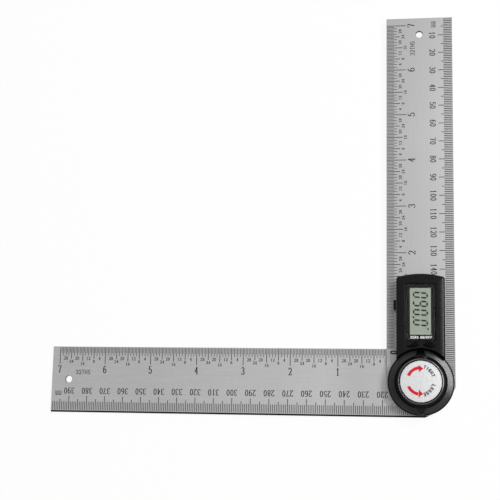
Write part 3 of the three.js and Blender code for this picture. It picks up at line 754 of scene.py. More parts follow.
# the rim is the knob's own black plastic, coloured lighter than the hub as painted highlight
KNOB_RIM = Moulded(
    "knob_rim", tone(30, 30, 31), tone(80, 80, 81), roughness=0.2, gloss=0.95, depth=0.003, cover=0.01
)
BUTTON_BLACK = Moulded(
    "button_black", tone(3, 3, 3), tone(24, 24, 25), roughness=0.1, gloss=0.06, depth=0.002, cover=0.006
)
RUBBER_BLACK = Moulded("contact_rubber", tone(20, 20, 21), tone(30, 30, 32), roughness=0.6, gloss=0.2)
CHIP = Moulded("chip_epoxy", tone(24, 24, 26), tone(50, 50, 52), roughness=0.55, gloss=0.3, pebble=5000.0)
SILICONE = Moulded("silicone_grey", tone(122, 125, 130), tone(140, 142, 146), roughness=0.6, pebble=3200.0)
NYLON = Moulded(
    "white_nylon", tone(228, 226, 218), tone(238, 237, 232), roughness=0.5, gloss=0.4, pebble=1500.0
)
LAMINATE = Moulded(
    "board_laminate", tone(26, 92, 52), tone(96, 140, 92), roughness=0.36, gloss=0.5, pebble=1800.0
)
FILM = Moulded("amber_film", tone(188, 112, 44), tone(206, 150, 90), roughness=0.3, gloss=0.5, pebble=1200.0)
LENS = ClearLens("lens_clear")
DISPLAY = DisplayGlass("display_glass")
FOIL = Foil("label_foil")
SCALE_INK = Ink("scale_ink", tone(14, 14, 15), tone(40, 40, 42), 0.6)
WHITE_PRINT = Ink("white_print", tone(244, 245, 246), tone(208, 210, 212))
BLACK_PRINT = Ink("black_print", tone(12, 12, 13), tone(36, 36, 38))
RED_PRINT = Ink("red_print", tone(200, 25, 41), tone(212, 62, 68))
DISPLAY_INK = Ink("display_ink", tone(8, 11, 8), tone(20, 24, 20))


# Meshes


def polar(radius: float, degrees: float) -> Point:
    """The point at a radius and an angle."""
    return (radius * math.cos(math.radians(degrees)), radius * math.sin(math.radians(degrees)))


def swung(spot: Point, degrees: float, centre: Point = (0.0, 0.0)) -> Point:
    """Turns a point anticlockwise about the origin and then moves the origin to a centre.

    Args:
        spot: The point.
        degrees: How far it turns.
        centre: Where the origin goes.

    Returns:
        The turned point.
    """
    cosine, sine = polar(1.0, degrees)
    x, y = spot
    return (centre[0] + x * cosine - y * sine, centre[1] + x * sine + y * cosine)


def merged(corners: list[Point], outlines: list[list[int]]) -> Flat:
    """Joins outlines that overlap into one flat shape.

    Args:
        corners: The corners of all outlines.
        outlines: Each outline, by corner number, anticlockwise.

    Returns:
        Its corners and its triangles.
    """
    seeds = [Vector(corner) for corner in corners]
    spots, _, faces, _, _, sources = delaunay_2d_cdt(seeds, [], outlines, 1, 1e-5, True)
    kept = [tuple(face) for face, source in zip(faces, sources) if source]
    return [(spot.x, spot.y) for spot in spots], kept


def solid(
    name: str, corners: list[Corner], faces: list[tuple[int, ...]], sharp: float = CRISP
) -> bpy.types.Object:
    """Makes a mesh object from corners in millimetres.

    Args:
        name: Name of the piece.
        corners: Its corners.
        faces: Its faces, by corner number.
        sharp: Angle in degrees above which an edge stays crisp.

    Returns:
        The object.
    """
    mesh = bpy.data.meshes.new(name)
    mesh.from_pydata([tuple(value * MM for value in corner) for corner in corners], [], faces)
    shaper = bmesh.new()
    shaper.from_mesh(mesh)
    bmesh.ops.recalc_face_normals(shaper, faces=shaper.faces)
    shaper.to_mesh(mesh)
    shaper.free()
    mesh.shade_smooth()
    mesh.set_sharp_from_angle(angle=math.radians(sharp))
    piece = bpy.data.objects.new(name, mesh)
    bpy.context.scene.collection.objects.link(piece)
    return piece


def stacked(name: str, rings: list[list[Corner]], sharp: float = CRISP) -> bpy.types.Object:
    """Joins rings of equal count into a closed solid with flat ends.

    Args:
        name: Name of the piece.
        rings: The rings, one above the other.
        sharp: Angle above which an edge stays crisp.

    Returns:
        The object.
    """
    count = len(rings[0])
    corners = [corner for ring in rings for corner in ring]
    faces = [tuple(reversed(range(count)))]
    for level in range(len(rings) - 1):
        low, high = level * count, (level + 1) * count
        faces += [(low + i, low + (i + 1) % count, high + (i + 1) % count, high + i) for i in range(count)]
    faces.append(tuple(range(len(corners) - count, len(corners))))
    return solid(name, corners, faces, sharp)


def turned(name: str, profile: list[Point], segments: int = 128, sharp: float = CRISP) -> bpy.types.Object:
    """Turns a closed profile round the pivot axis.

    Args:
        name: Name of the piece.
        profile: Radius and height of each point, round the section.
        segments: Facets in a turn.
        sharp: Angle above which an edge stays crisp.

    Returns:
        The object.
    """
    corners: list[Corner] = []
    rows: list[list[int]] = []
    for radius, height in profile:
        steps = segments if radius > 0 else 1
        start = len(corners)
        for step in range(steps):
            angle = 2 * math.pi * step / segments
            corners.append((radius * math.cos(angle), radius * math.sin(angle), height))
        rows.append([start + step % steps for step in range(segments)])
    faces = []
    for here, there in zip(rows, rows[1:] + rows[:1]):
        for step in range(segments):
            after = (step + 1) % segments
            quad = (here[step], here[after], there[after], there[step])
            face = tuple(dict.fromkeys(quad))
            if len(face) > 2:
                faces.append(face)
    return solid(name, corners, faces, sharp)


def rounded(corner: Point, before: Point, after: Point, radius: float, steps: int = 5) -> list[Point]:
    """Rounds one corner of a profile.

    Args:
        corner: The sharp corner.
        before: The point before it.
        after: The point after it.
        radius: How far from the corner the rounding starts.
        steps: Points on the curve.

    Returns:
        The points of the curve.
    """
    tip = Vector(corner)
    start = tip + (Vector(before) - tip).normalized() * radius
    end = tip + (Vector(after) - tip).normalized() * radius
    curve = []
    for step in range(steps + 1):
        share = step / steps
        spot = start * (1 - share) ** 2 + tip * 2 * share * (1 - share) + end * share**2
        curve.append((spot.x, spot.y))
    return curve


def carve(
    piece: bpy.types.Object, tools: list[bpy.types.Object], operation: str = "DIFFERENCE"
) -> bpy.types.Object:
    """Cuts tools out of a piece, or joins them to it, and removes them.

    Args:
        piece: The piece.
        tools: The closed solids to use.
        operation: Blender's name for the boolean.

    Returns:
        The piece.
    """
    for tool in tools:
        step = piece.modifiers.new("carve", "BOOLEAN")
        step.operation = operation
        step.solver = "MANIFOLD"
        step.object = tool
    bpy.context.view_layer.update()
    view = piece.evaluated_get(bpy.context.evaluated_depsgraph_get())
    result = bpy.data.meshes.new_from_object(view)
    piece.modifiers.clear()
    blank, piece.data = piece.data, result
    bpy.data.meshes.remove(blank)
    for tool in tools:
        bpy.data.objects.remove(tool)
    return piece


def settle(piece: bpy.types.Object) -> None:
    """Shades a carved piece smooth between its crisp edges, with large faces kept flat.

    Args:
        piece: The piece.
    """
    piece.data.shade_smooth()
    piece.data.set_sharp_from_angle(angle=math.radians(CRISP))
    weighted = piece.modifiers.new("flat_faces", "WEIGHTED_NORMAL")
    weighted.keep_sharp = True


def fit(piece: bpy.types.Object, body: str, slot: str, material: bpy.types.Material) -> bpy.types.Object:
    """Gives a new piece its finish and the body that carries it.

    Args:
        piece: The piece.
        body: The moving body it rides on.
        slot: The record's material slot.
        material: Its finish.

    Returns:
        The piece.
    """
    piece.data.materials.clear()
    piece.data.materials.append(material)
    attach(piece, body)
    LOG.info("%s rides on %s in %s", piece.name, body, slot)
    return piece


class FairSurfaces:
    """A modifier that joins a CAD node's facets and shades its curves smooth."""

    GENTLE = 35.0  # degrees between faces that shade as one curve
    REACH = 0.001  # millimetres between corners that are one

    @classmethod
    @cache
    def tree(cls) -> bpy.types.NodeTree:
        """Builds the geometry nodes once.

        Returns:
            The node tree.
        """
        tree = bpy.data.node_groups.new("fair_surfaces", "GeometryNodeTree")
        for way in ("INPUT", "OUTPUT"):
            tree.interface.new_socket("Geometry", in_out=way, socket_type="NodeSocketGeometry")
        wiring = Wiring(tree)
        part = wiring.add("NodeGroupInput").outputs[0]
        part = wiring.add("GeometryNodeRemoveAttribute", inputs={0: part, "Name": "custom_normal"}).outputs[0]
        inputs = {0: part, "Distance": cls.REACH * MM}
        part = wiring.add("GeometryNodeMergeByDistance", inputs=inputs).outputs[0]
        part = wiring.add("GeometryNodeSetShadeSmooth", {"domain": "FACE"}, {0: part}).outputs[0]
        angle = wiring.add("GeometryNodeInputMeshEdgeAngle").outputs[0]
        inputs = {0: angle, 1: math.radians(cls.GENTLE)}
        gentle = wiring.add("FunctionNodeCompare", {"operation": "LESS_THAN"}, inputs).outputs[0]
        inputs = {0: part, "Shade Smooth": gentle}
        part = wiring.add("GeometryNodeSetShadeSmooth", {"domain": "EDGE"}, inputs).outputs[0]
        wiring.add("NodeGroupOutput", inputs={0: part})
        return tree

    @classmethod
    def dress(cls, node: str, material: bpy.types.Material) -> None:
        """Gives a CAD node its finish and smooth curves.

        Args:
            node: Name of the node.
            material: Its finish.
        """
        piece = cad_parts[node]
        piece.data.materials.clear()
        piece.data.materials.append(material)
        piece.modifiers.new("fair_surfaces", "NODES").node_group = cls.tree()
        LOG.info("%s keeps its CAD shape, in %s", node, material.name)


# Lettering and printed marks


ARC_STEP = 24  # degrees between two points of a curved stroke


def arc(across: float, up: float, wide: float, tall: float, start: float, end: float) -> list[Point]:
    """Points along an arc of an ellipse.

    Args:
        across: Centre, across.
        up: Centre, up.
        wide: Half the width.
        tall: Half the height.
        start: First angle in degrees.
        end: Last angle in degrees.

    Returns:
        The points.
    """
    steps = max(3, round(abs(end - start) / ARC_STEP))
    angles = [math.radians(start + (end - start) * step / steps) for step in range(steps + 1)]
    return [(across + wide * math.cos(angle), up + tall * math.sin(angle)) for angle in angles]


SIX = [arc(0.62, 0.5, 0.62, 0.5, 62, 180) + arc(0.5, 0.3, 0.5, 0.3, 180, -180)]
STROKES: dict[str, list[list[Point]]] = {
    "0": [arc(0.5, 0.5, 0.5, 0.5, 90, 450)],
    "1": [[(0.05, 0.76), (0.5, 1), (0.5, 0)], [(0, 0), (1, 0)]],
    "2": [arc(0.5, 0.72, 0.5, 0.28, 170, -25) + [(0.7, 0.36), (0, 0), (1, 0), (1, 0.14)]],
    "3": [arc(0.47, 0.76, 0.45, 0.24, 160, -90), arc(0.47, 0.26, 0.53, 0.26, 90, -160)],
    "4": [[(0.74, 0), (0.74, 1), (0, 0.3), (1, 0.3)], [(0.5, 0), (1, 0)]],
    "5": [[(0.92, 1), (0.14, 1), (0.12, 0.54)] + arc(0.46, 0.32, 0.54, 0.32, 135, -160)],
    "6": SIX,
    "7": [[(0, 0.86), (0, 1), (1, 1), (0.62, 0.5), (0.45, 0)]],
    "8": [arc(0.5, 0.76, 0.42, 0.24, -90, 270), arc(0.5, 0.26, 0.5, 0.26, 90, 450)],
    "9": [[(1 - across, 1 - up) for across, up in stroke] for stroke in SIX],
    "T": [[(0, 1), (1, 1)], [(0.5, 1), (0.5, 0)]],
    "H": [[(0, 0), (0, 1)], [(1, 0), (1, 1)], [(0, 0.5), (1, 0.5)]],
    "S": [arc(0.5, 0.75, 0.46, 0.25, 30, 270) + arc(0.5, 0.25, 0.5, 0.25, 90, -150)],
    "Z": [[(0, 1), (1, 1), (0, 0), (1, 0)]],
    "E": [[(1, 1), (0, 1), (0, 0), (1, 0)], [(0, 0.5), (0.8, 0.5)]],
    "R": [[(0, 0), (0, 1), (0.6, 1)] + arc(0.6, 0.75, 0.4, 0.25, 90, -90) + [(0, 0.5)], [(0.5, 0.5), (1, 0)]],
    "O": [arc(0.5, 0.5, 0.5, 0.5, 90, 450)],
    "N": [[(0, 0), (0, 1), (1, 0), (1, 1)]],
    "F": [[(1, 1), (0, 1), (0, 0)], [(0, 0.5), (0.8, 0.5)]],
    "/": [[(0, 0), (1, 1)]],
    "I": [[(0.5, 0), (0.5, 1)]],
    "G": [arc(0.5, 0.5, 0.5, 0.5, 45, 330) + [(1, 0.45), (0.55, 0.45)]],
    "L": [[(0, 1), (0, 0), (1, 0)]],
    "m": [[(0, 0), (0, 1)]] + [arc(x, 0.75, 0.25, 0.25, 150, 0) + [(x + 0.25, 0)] for x in (0.25, 0.75)],
}
NARROW = {"1": 0.62, "I": 0.3, "/": 0.6}


@dataclass(frozen=True)
class Style:
    """How a line of figures is drawn, in millimetres."""

    height: float
    width: float
    gap: float
    thick: float  # upright strokes
    thin: float  # level strokes


class Lettering:
    """Figures, capitals and the small m, each the sweep of a flat nib along its strokes."""

    STRAIGHT = 1e-12  # a smaller turn of the outline counts as none
    SHORT = 0.001  # a piece of a stroke that is shorter than this share of the nib is left out

    @staticmethod
    def width(sign: str, style: Style) -> float:
        """Width of one sign."""
        return max(style.width * NARROW.get(sign, 1.0), style.thick)

    @classmethod
    def advance(cls, sign: str, style: Style) -> float:
        """Room that one sign takes in a line; figures all take the same."""
        return style.width if sign.isdigit() else cls.width(sign, style)

    @staticmethod
    def hull(points: list[Point]) -> list[Point]:
        """The convex outline of some points.

        Args:
            points: The points.

        Returns:
            The outline, anticlockwise.
        """
        spots = sorted(set(points))

        def half(order: list[Point]) -> list[Point]:
            """Walks one side of the outline.

            Args:
                order: The points, from one end to the other.

            Returns:
                That side, without its last point.
            """
            side: list[Point] = []
            for spot in order:
                while len(side) > 1:
                    (ax, ay), (bx, by) = side[-2], side[-1]
                    if (bx - ax) * (spot[1] - ay) - (by - ay) * (spot[0] - ax) > Lettering.STRAIGHT:
                        break
                    side.pop()
                side.append(spot)
            return side[:-1]

        return half(spots) + half(spots[::-1])

    @classmethod
    @cache
    def cut(cls, sign: str, style: Style) -> Flat:
        """Draws one sign about its own middle.

        Args:
            sign: The letter or figure.
            style: How it is drawn.

        Returns:
            Its corners and its triangles.
        """
        wide = cls.width(sign, style) - style.thick
        tall = style.height - style.thin
        shortest = min(style.thin, style.thick) * cls.SHORT
        quarter = ((1, 0.5), (0.5, 1), (-0.5, 1), (-1, 0.5))
        nib = [(x * style.thick / 2, y * style.thin / 2) for x, y in quarter]
        nib += [(-x, -y) for x, y in nib]
        corners: list[Point] = []
        outlines: list[list[int]] = []
        for stroke in STROKES[sign]:
            path = [((x - 0.5) * wide, (y - 0.5) * tall) for x, y in stroke]
            for ends in zip(path, path[1:]):
                if math.dist(*ends) < shortest:
                    continue
                swept = cls.hull([(end_x + x, end_y + y) for end_x, end_y in ends for x, y in nib])
                outlines.append(list(range(len(corners), len(corners) + len(swept))))
                corners += swept
        return merged(corners, outlines)


class PrintSheet:
    """Flat marks of one ink, gathered and then given their thickness."""

    def __init__(self) -> None:
        """Starts with no marks."""
        self.spots: list[Point] = []
        self.faces: list[tuple[int, ...]] = []

    def shape(self, spots: list[Point], faces: list[tuple[int, ...]] | None = None) -> None:
        """Adds one shape.

        Args:
            spots: Its corners.
            faces: Its faces by corner number, or nothing for one outline.
        """
        start = len(self.spots)
        self.spots += spots
        self.faces += [tuple(start + i for i in face) for face in (faces or [tuple(range(len(spots)))])]

    def bar(self, first: Point, last: Point) -> None:
        """Adds an upright rectangle between two opposite corners."""
        (x0, x1), (y0, y1) = sorted((first[0], last[0])), sorted((first[1], last[1]))
        self.shape([(x0, y0), (x1, y0), (x1, y1), (x0, y1)])

    def sign(self, sign: str, style: Style, centre: Point, turn: float) -> None:
        """Adds one figure or capital.

        Args:
            sign: The letter or figure.
            style: How it is drawn.
            centre: Its middle.
            turn: How far it is turned anticlockwise, in degrees.
        """
        spots, faces = Lettering.cut(sign, style)
        self.shape([swung(spot, turn, centre) for spot in spots], faces)

    def line(self, words: str, style: Style, centre: Point, turn: float) -> None:
        """Adds a straight line of figures.

        Args:
            words: What it says.
            style: How it is drawn.
            centre: Its middle.
            turn: Which way it reads, in degrees anticlockwise from +X.
        """
        widths = [Lettering.advance(sign, style) for sign in words]
        along = -(sum(widths) + style.gap * (len(words) - 1)) / 2
        for sign, width in zip(words, widths):
            self.sign(sign, style, swung((along + width / 2, 0.0), turn, centre), turn)
            along += width + style.gap

    def curved(
        self, words: str, style: Style, centre: Point, radius: float, start: float, end: float
    ) -> None:
        """Adds capitals along a circle, clockwise, with their heads outward.

        Args:
            words: What it says.
            style: How it is drawn.
            centre: Centre of the circle.
            radius: Radius through the middle of the capitals.
            start: Angle of the first one.
            end: Angle of the last one.
        """
        for place, sign in enumerate(words):
            angle = start + (end - start) * place / (len(words) - 1)
            self.sign(sign, style, swung((radius, 0.0), angle, centre), angle - 90)

    def raise_from(self, name: str, height: float, depth: float = 0.012) -> bpy.types.Object:
        """Makes the marks into one mesh of thin closed shapes.

        Args:
            name: Name of the piece.
            height: Height of the face that carries them.
            depth: Their thickness.

        Returns:
            The object.
        """
        count = len(self.spots)
        corners = [(x, y, level) for level in (height, height + depth) for x, y in self.spots]
        sides = {(face[i - 1], face[i]) for face in self.faces for i in range(len(face))}
        faces = [tuple(reversed(face)) for face in self.faces]
        faces += [tuple(count + i for i in face) for face in self.faces]
        faces += [(a, b, count + b, count + a) for a, b in sorted(sides) if (b, a) not in sides]
        return solid(name, corners, faces)


# Rules


@dataclass(frozen=True)
class InchBand:
    """How far from the rule's middle line the inch marks and figures lie, in millimetres."""

    side: int  # +1 or -1 across the rule
    edge: float  # where every mark starts; the next five are where the marks end
    whole: float
    half: float
    quarter: float
    sixteenth: float
    fine: float
    eighth_row: Point  # head and foot of its figures, and so for the next three
    quarter_row: Point
    half_row: Point
    whole_row: Point


@dataclass(frozen=True)
class MetricBand:
    """How far from the rule's middle line the millimetre marks and figures lie, in millimetres."""

    side: int
    edge: float
    ten: float
    five: float
    one: float
    row: Point


class Arm(Enum):
    """The two rules: which body carries each and which way its scales read."""

    LOWER = "lower_arm"
    UPPER = "upper_arm"


@dataclass
class Rule:
    """One steel rule with its inch and millimetre scales; sizes are in millimetres."""

    arm: Arm
    node: str
    top: float  # height of its upper face
    steel: RuleSteel
    inches: InchBand
    metric: MetricBand
    inch_turn: float  # which way the figures read, in degrees anticlockwise from +X
    metric_turn: float
    note_across: float  # middle of the note on the inch scale
    unit_across: float  # middle of the unit on the millimetre scale
    nought: Point | None = None  # where the figure 0 stands, along and across
    first_inch_mark: int = 0
    reach: float = 200.0
    zero_inch: float = 18.1
    inch: float = 25.4
    inch_parts: int = 32
    mark: float = 0.36
    fine_mark: float = 0.34
    fine_inch_mark: float = 0.29
    first_millimetre: int = 4
    first_number: int = 20  # the knob hides the ten before it
    note_along: float = 182.65
    unit_along: float = 196.1
    figures: Style = Style(4.0, 2.15, 0.4, 0.5, 0.24)
    metric_figures: Style = Style(3.4, 1.7, 0.35, 0.44, 0.22)
    small_figures: Style = Style(1.8, 1.02, 0.22, 0.28, 0.18)
    notes: Style = Style(2.5, 1.38, 0.3, 0.32, 0.24)
    unit: Style = Style(2.4, 1.5, 0.34, 0.26, 0.26)
    nought_figure: Style = Style(3.6, 2.1, 0.4, 0.7, 0.46)

    def at(self, along: float, across: float) -> Point:
        """Turns a place on the rule into a place on the object."""
        return (-along, across) if self.arm is Arm.LOWER else (across, along)

    def tick(
        self, sheet: PrintSheet, along: float, band: InchBand | MetricBand, inner: float, width: float
    ) -> None:
        """Adds one mark, from the band's outer edge inward."""
        start = self.at(along - width / 2, band.side * band.edge)
        sheet.bar(start, self.at(along + width / 2, band.side * inner))

    def figure(
        self, sheet: PrintSheet, number: int, style: Style, along: float, row: Point, side: int, turn: float
    ) -> None:
        """Adds a number beside its mark.

        Args:
            sheet: Where it goes.
            number: The number.
            style: How it is drawn, apart from its height.
            along: Its place along the rule.
            row: Where its head and its foot are, from the rule's middle line.
            side: Which side of that line.
            turn: Which way it reads.
        """
        fitted = replace(style, height=abs(row[0] - row[1]))
        sheet.line(str(number), fitted, self.at(along, side * (row[0] + row[1]) / 2), turn)

    def inch_scale(self, sheet: PrintSheet) -> None:
        """Adds the inch marks and figures, which are counted in 32nds.

        Args:
            sheet: Where they go.
        """
        band, parts = self.inches, self.inch_parts
        starts = {0: band.whole, 16: band.half, 8: band.quarter, 24: band.quarter}
        last = int((self.reach - self.zero_inch) / self.inch) * parts
        for count in range(self.first_inch_mark, last + 1):
            along = self.zero_inch + self.inch * count / parts
            part = count % parts
            inner = starts.get(part, band.sixteenth if part % 2 == 0 else band.fine)
            self.tick(sheet, along, band, inner, self.mark if part % 8 == 0 else self.fine_inch_mark)
            number, style, row = part, self.small_figures, band.eighth_row
            if part == 0:
                number, style, row = count // parts, self.figures, band.whole_row
            elif part % 8 == 0:
                row = band.half_row if part == 16 else band.quarter_row
            if part % 4 == 0 and number > 0:
                self.figure(sheet, number, style, along, row, band.side, self.inch_turn)

    def metric_scale(self, sheet: PrintSheet) -> None:
        """Adds the millimetre marks and figures, which count from the upper rule's tip.

        Args:
            sheet: Where they go.
        """
        band, reach = self.metric, int(self.reach)
        for along in range(self.first_millimetre, reach):
            inner = band.ten if along % 10 == 0 else band.five if along % 5 == 0 else band.one
            self.tick(sheet, along, band, inner, self.mark if along % 5 == 0 else self.fine_mark)
            if along % 10 == 0 and along >= self.first_number:
                count = reach + along if self.arm is Arm.LOWER else reach - along
                self.figure(sheet, count, self.metric_figures, along, band.row, band.side, self.metric_turn)

    def build(self) -> None:
        """Dresses the rule and lays its scales, their notes and the 0 on it."""
        FairSurfaces.dress(self.node, self.steel.material())
        sheet = PrintSheet()
        self.inch_scale(sheet)
        self.metric_scale(sheet)
        sheet.line("32THS", self.notes, self.at(self.note_along, self.note_across), self.inch_turn)
        sheet.line("mm", self.unit, self.at(self.unit_along, self.unit_across), self.metric_turn)
        if self.nought is not None:
            sheet.line("0", self.nought_figure, self.at(*self.nought), self.inch_turn)
        marks = sheet.raise_from(f"{self.node}_scales", self.top)
        fit(marks, self.arm.value, "scale_ink", SCALE_INK.material())


# Display module


# Which parts of a seven-part figure show: a at its head, then clockwise to f, and g across its middle
LIT_PARTS = {"0": "abcdef", "9": "abcdfg"}


@dataclass
class DisplayModule:
    """The black module on the upper rule: housing, lens, display and buttons; sizes are in millimetres."""

    half_width: float = 12.6
    crown: float = 56.4  # where the far end stands on the middle line
    arch: float = 1.35  # how far that end bows out
    corner: float = 2.0
    least_corner: float = 0.2
    low: float = 6.05
    top: float = 14.5
    top_round: float = 1.15
    top_turn: float = 80.0  # degrees that the rounded edge turns through
    crown_drop: float = 0.28  # how far the top falls towards that edge
    crown_reach: float = 4.1  # and how wide the falling band is
    corner_steps: int = 6
    arch_steps: int = 28
    edge_steps: int = 7
    crown_steps: int = 5
    roof_underside: float = 13.1
    wall: float = 1.2
    drum_radius: float = 16.6
    drum_top: float = 9.4
    drum_bevel: float = 0.25
    drum_ceiling: float = 8.4
    drum_inner: float = 15.2
    well_radius: float = 17.45
    cavity_radius: float = 18.4
    hub_hole: float = 6.55
    tab_half: float = 4.3  # room for the angle sensor's tab
    tab_far: float = 20.1
    overrun: float = 1.0  # how far a cutter reaches past what it cuts
    lens_half: float = 7.8
    lens_near: float = 21.4
    lens_far: float = 51.1
    lens_corner: float = 0.7
    lens_edge: float = 0.05
    lens_crisp: float = 8.0
    lens_side: float = 0.9  # a face is a side where its normal has less upright part than this
    lens_seat: float = 13.6
    lens_bottom: float = 13.65
    lens_top: float = 14.3
    recess_flare: tuple[Point, ...] = ((0.0, -0.2), (-0.24, 0.01), (-0.24, 1.0))  # inset, height over the top
    window_half: float = 5.5
    window_near: float = 24.4
    window_far: float = 48.9
    word_style: Style = Style(1.34, 0.82, 0.27, 0.26, 0.26)
    word_places: tuple[tuple[str, Point], ...] = (("ZERO", (-3.3, 22.95)), ("ON/OFF", (2.75, 22.95)))
    panel_top: float = 13.05
    figure_starts: tuple[float, ...] = (46.75, 42.3, 37.68, 32.3)  # along the rule
    figure_foot: float = -4.0
    figure_wide: float = 3.3
    figure_tall: float = 7.8
    figure_lean: float = 5.0  # degrees
    part_width: float = 0.86
    part_gap: float = 0.22
    point_corners: tuple[Point, Point] = ((-4.15, 34.0), (-3.2, 33.1))
    degree_centre: Point = (3.75, 27.4)
    degree_radius: float = 0.5
    degree_steps: int = 12
    print_depth: float = 0.01
    fit_gap: float = 0.15
    button_gap: float = 0.36
    button_radius: float = 19.6
    button_angle: float = 11.5
    button_length: float = 5.9
    button_width: float = 2.1
    button_tip: float = 0.12  # its blunt ends, as a share of its width
    button_steps: int = 16
    button_crisp: float = 50.0
    button_bottom: float = 12.65
    button_top: float = 14.8
    button_dome: tuple[Point, ...] = ((1.0, 0.34), (0.97, 0.22), (0.86, 0.12), (0.6, 0.03), (0.35, 0.0))
    opening_flare: tuple[Point, ...] = ((1.0, -0.12), (1.08, 0.02), (1.08, 1.0))  # size, height over the top
    tray_outer: float = -13.4
    tray_inner: float = -10.2
    tray_near: float = 28.75
    tray_far: float = 51.05
    tray_ceiling: float = 9.95

    def outline(self, inset: float, height: float) -> list[Corner]:
        """The module's outline, with its bowed far end, drawn in by an inset.

        Args:
            inset: How far inside the outer face.
            height: Height of the ring.

        Returns:
            The ring, anticlockwise.
        """
        half, crown = self.half_width - inset, self.crown - inset
        shoulder, corner = crown - self.arch, max(self.corner - inset, self.least_corner)

        def bend(start: Point, middle: Point, end: Point, steps: int) -> list[Point]:
            """Points along one curved part, without its end.

            Args:
                start: Its start.
                middle: The point that it bends towards.
                end: Its end.
                steps: How many points.

            Returns:
                The points.
            """
            curve = []
            for step in range(steps):
                share = step / steps
                weights = ((1 - share) ** 2, 2 * share * (1 - share), share**2)
                spots = zip(weights, (start, middle, end))
                pulls = [(weight * x, weight * y) for weight, (x, y) in spots]
                curve.append((sum(x for x, y in pulls), sum(y for x, y in pulls)))
            return curve

        spots: list[Point] = [(-half, 0.0), (half, 0.0)]
        first, last = (half - corner, shoulder), (-half + corner, shoulder)
        spots += bend((half, shoulder - corner), (half, shoulder), first, self.corner_steps)
        spots += bend(first, (0.0, crown + self.arch), last, self.arch_steps)
        spots += bend(last, (-half, shoulder), (-half, shoulder - corner), self.corner_steps)
        spots.append((-half, shoulder - corner))
        return [(x, y, height) for x, y in spots]

    def plate(
        self, name: str, near: float, far: float, half: float, levels: list[Point], sharp: float = CRISP
    ) -> bpy.types.Object:
        """A rectangle on the module's middle line, with corners rounded like the lens's.

        Args:
            name: Name of the piece.
            near: Its end nearer the knob.
            far: Its far end.
            half: Half its width.
            levels: For each ring, its inset and its height.
            sharp: Angle above which an edge stays crisp.

        Returns:
            The object.
        """
        radius, steps = self.lens_corner, self.corner_steps
        side, low, high = half - radius, near + radius, far - radius
        middles = (((side, high), 0), ((-side, high), 90), ((-side, low), 180), ((side, low), 270))
        turns = [(start + 90 * step / steps, spot) for spot, start in middles for step in range(steps + 1)]
        rings = []
        for inset, height in levels:
            reach = (radius - inset, 0.0)
            rings.append([(*swung(reach, turn, middle), height) for turn, middle in turns])
        return stacked(name, rings, sharp)

    def leaf(self, name: str, sign: int, levels: list[Point], grow: float = 0.0) -> bpy.types.Object:
        """A leaf-shaped button or its opening.

        Args:
            name: Name of the piece.
            sign: +1 for the button towards +X.
            levels: For each ring, its share of the full size and its height.
            grow: How much larger the outline is all round.

        Returns:
            The object.
        """
        half, side = self.button_length / 2 + grow, self.button_width / 2 + grow
        tip = self.button_width * self.button_tip
        upper = []
        for step in range(self.button_steps + 1):
            share = step / self.button_steps
            rise = tip * ((1 - share) ** 2 + share**2) + 2 * share * (1 - share) * (2 * side - tip)
            upper.append((half * (1 - 2 * share), rise))
        outline = upper + [(-x, -y) for x, y in upper]
        rings = []
        for size, height in levels:
            ring = []
            for x, y in outline:
                bow = -(x * x) / (2 * self.button_radius)
                spot = (x * (1 + size) / 2, self.button_radius + y * size + bow)
                ring.append((*swung(spot, -sign * self.button_angle), height))
            rings.append(ring)
        return stacked(name, rings, self.button_crisp)

    def shell(self) -> bpy.types.Object:
        """Lofts the housing's outer form and joins the drum under the knob to it.

        Returns:
            The object, still without its hollow and openings.
        """
        edge, shoulder = self.top_round, self.top - self.crown_drop
        whole = math.sin(math.radians(self.top_turn))
        rings = [self.outline(0.0, self.low), self.outline(0.0, shoulder - edge)]
        for step in range(1, self.edge_steps + 1):
            angle = math.radians(self.top_turn * step / self.edge_steps)
            inset = edge * (1 - math.cos(angle))
            rings.append(self.outline(inset, shoulder - edge * (1 - math.sin(angle) / whole)))
        for step in range(1, self.crown_steps + 1):
            share = step / self.crown_steps
            further = inset + (self.crown_reach - inset) * share
            rings.append(self.outline(further, self.top - self.crown_drop * (1 - share) ** 2))
        shell = stacked("housing_shell", rings)
        radius, top, bevel = self.drum_radius, self.drum_top, self.drum_bevel
        profile = [(0.0, self.low), (radius, self.low)]
        profile += [(radius, top - bevel), (radius - bevel, top), (0.0, top)]
        return carve(shell, [turned("drum", profile)], "UNION")

    def cutters(self) -> list[bpy.types.Object]:
        """Makes the solids that hollow the housing and open it.

        Returns:
            The objects.
        """

        def box(x0: float, x1: float, y0: float, y1: float, z0: float, z1: float) -> bpy.types.Object:
            """A plain block between six planes."""
            ring = [(x0, y0), (x1, y0), (x1, y1), (x0, y1)]
            return stacked("cutting_block", [[(x, y, z) for x, y in ring] for z in (z0, z1)])

        def rod(radius: float, low: float, high: float) -> bpy.types.Object:
            """A plain round bar on the pivot axis."""
            return turned("cutting_rod", [(0.0, low), (radius, low), (radius, high), (0.0, high)])

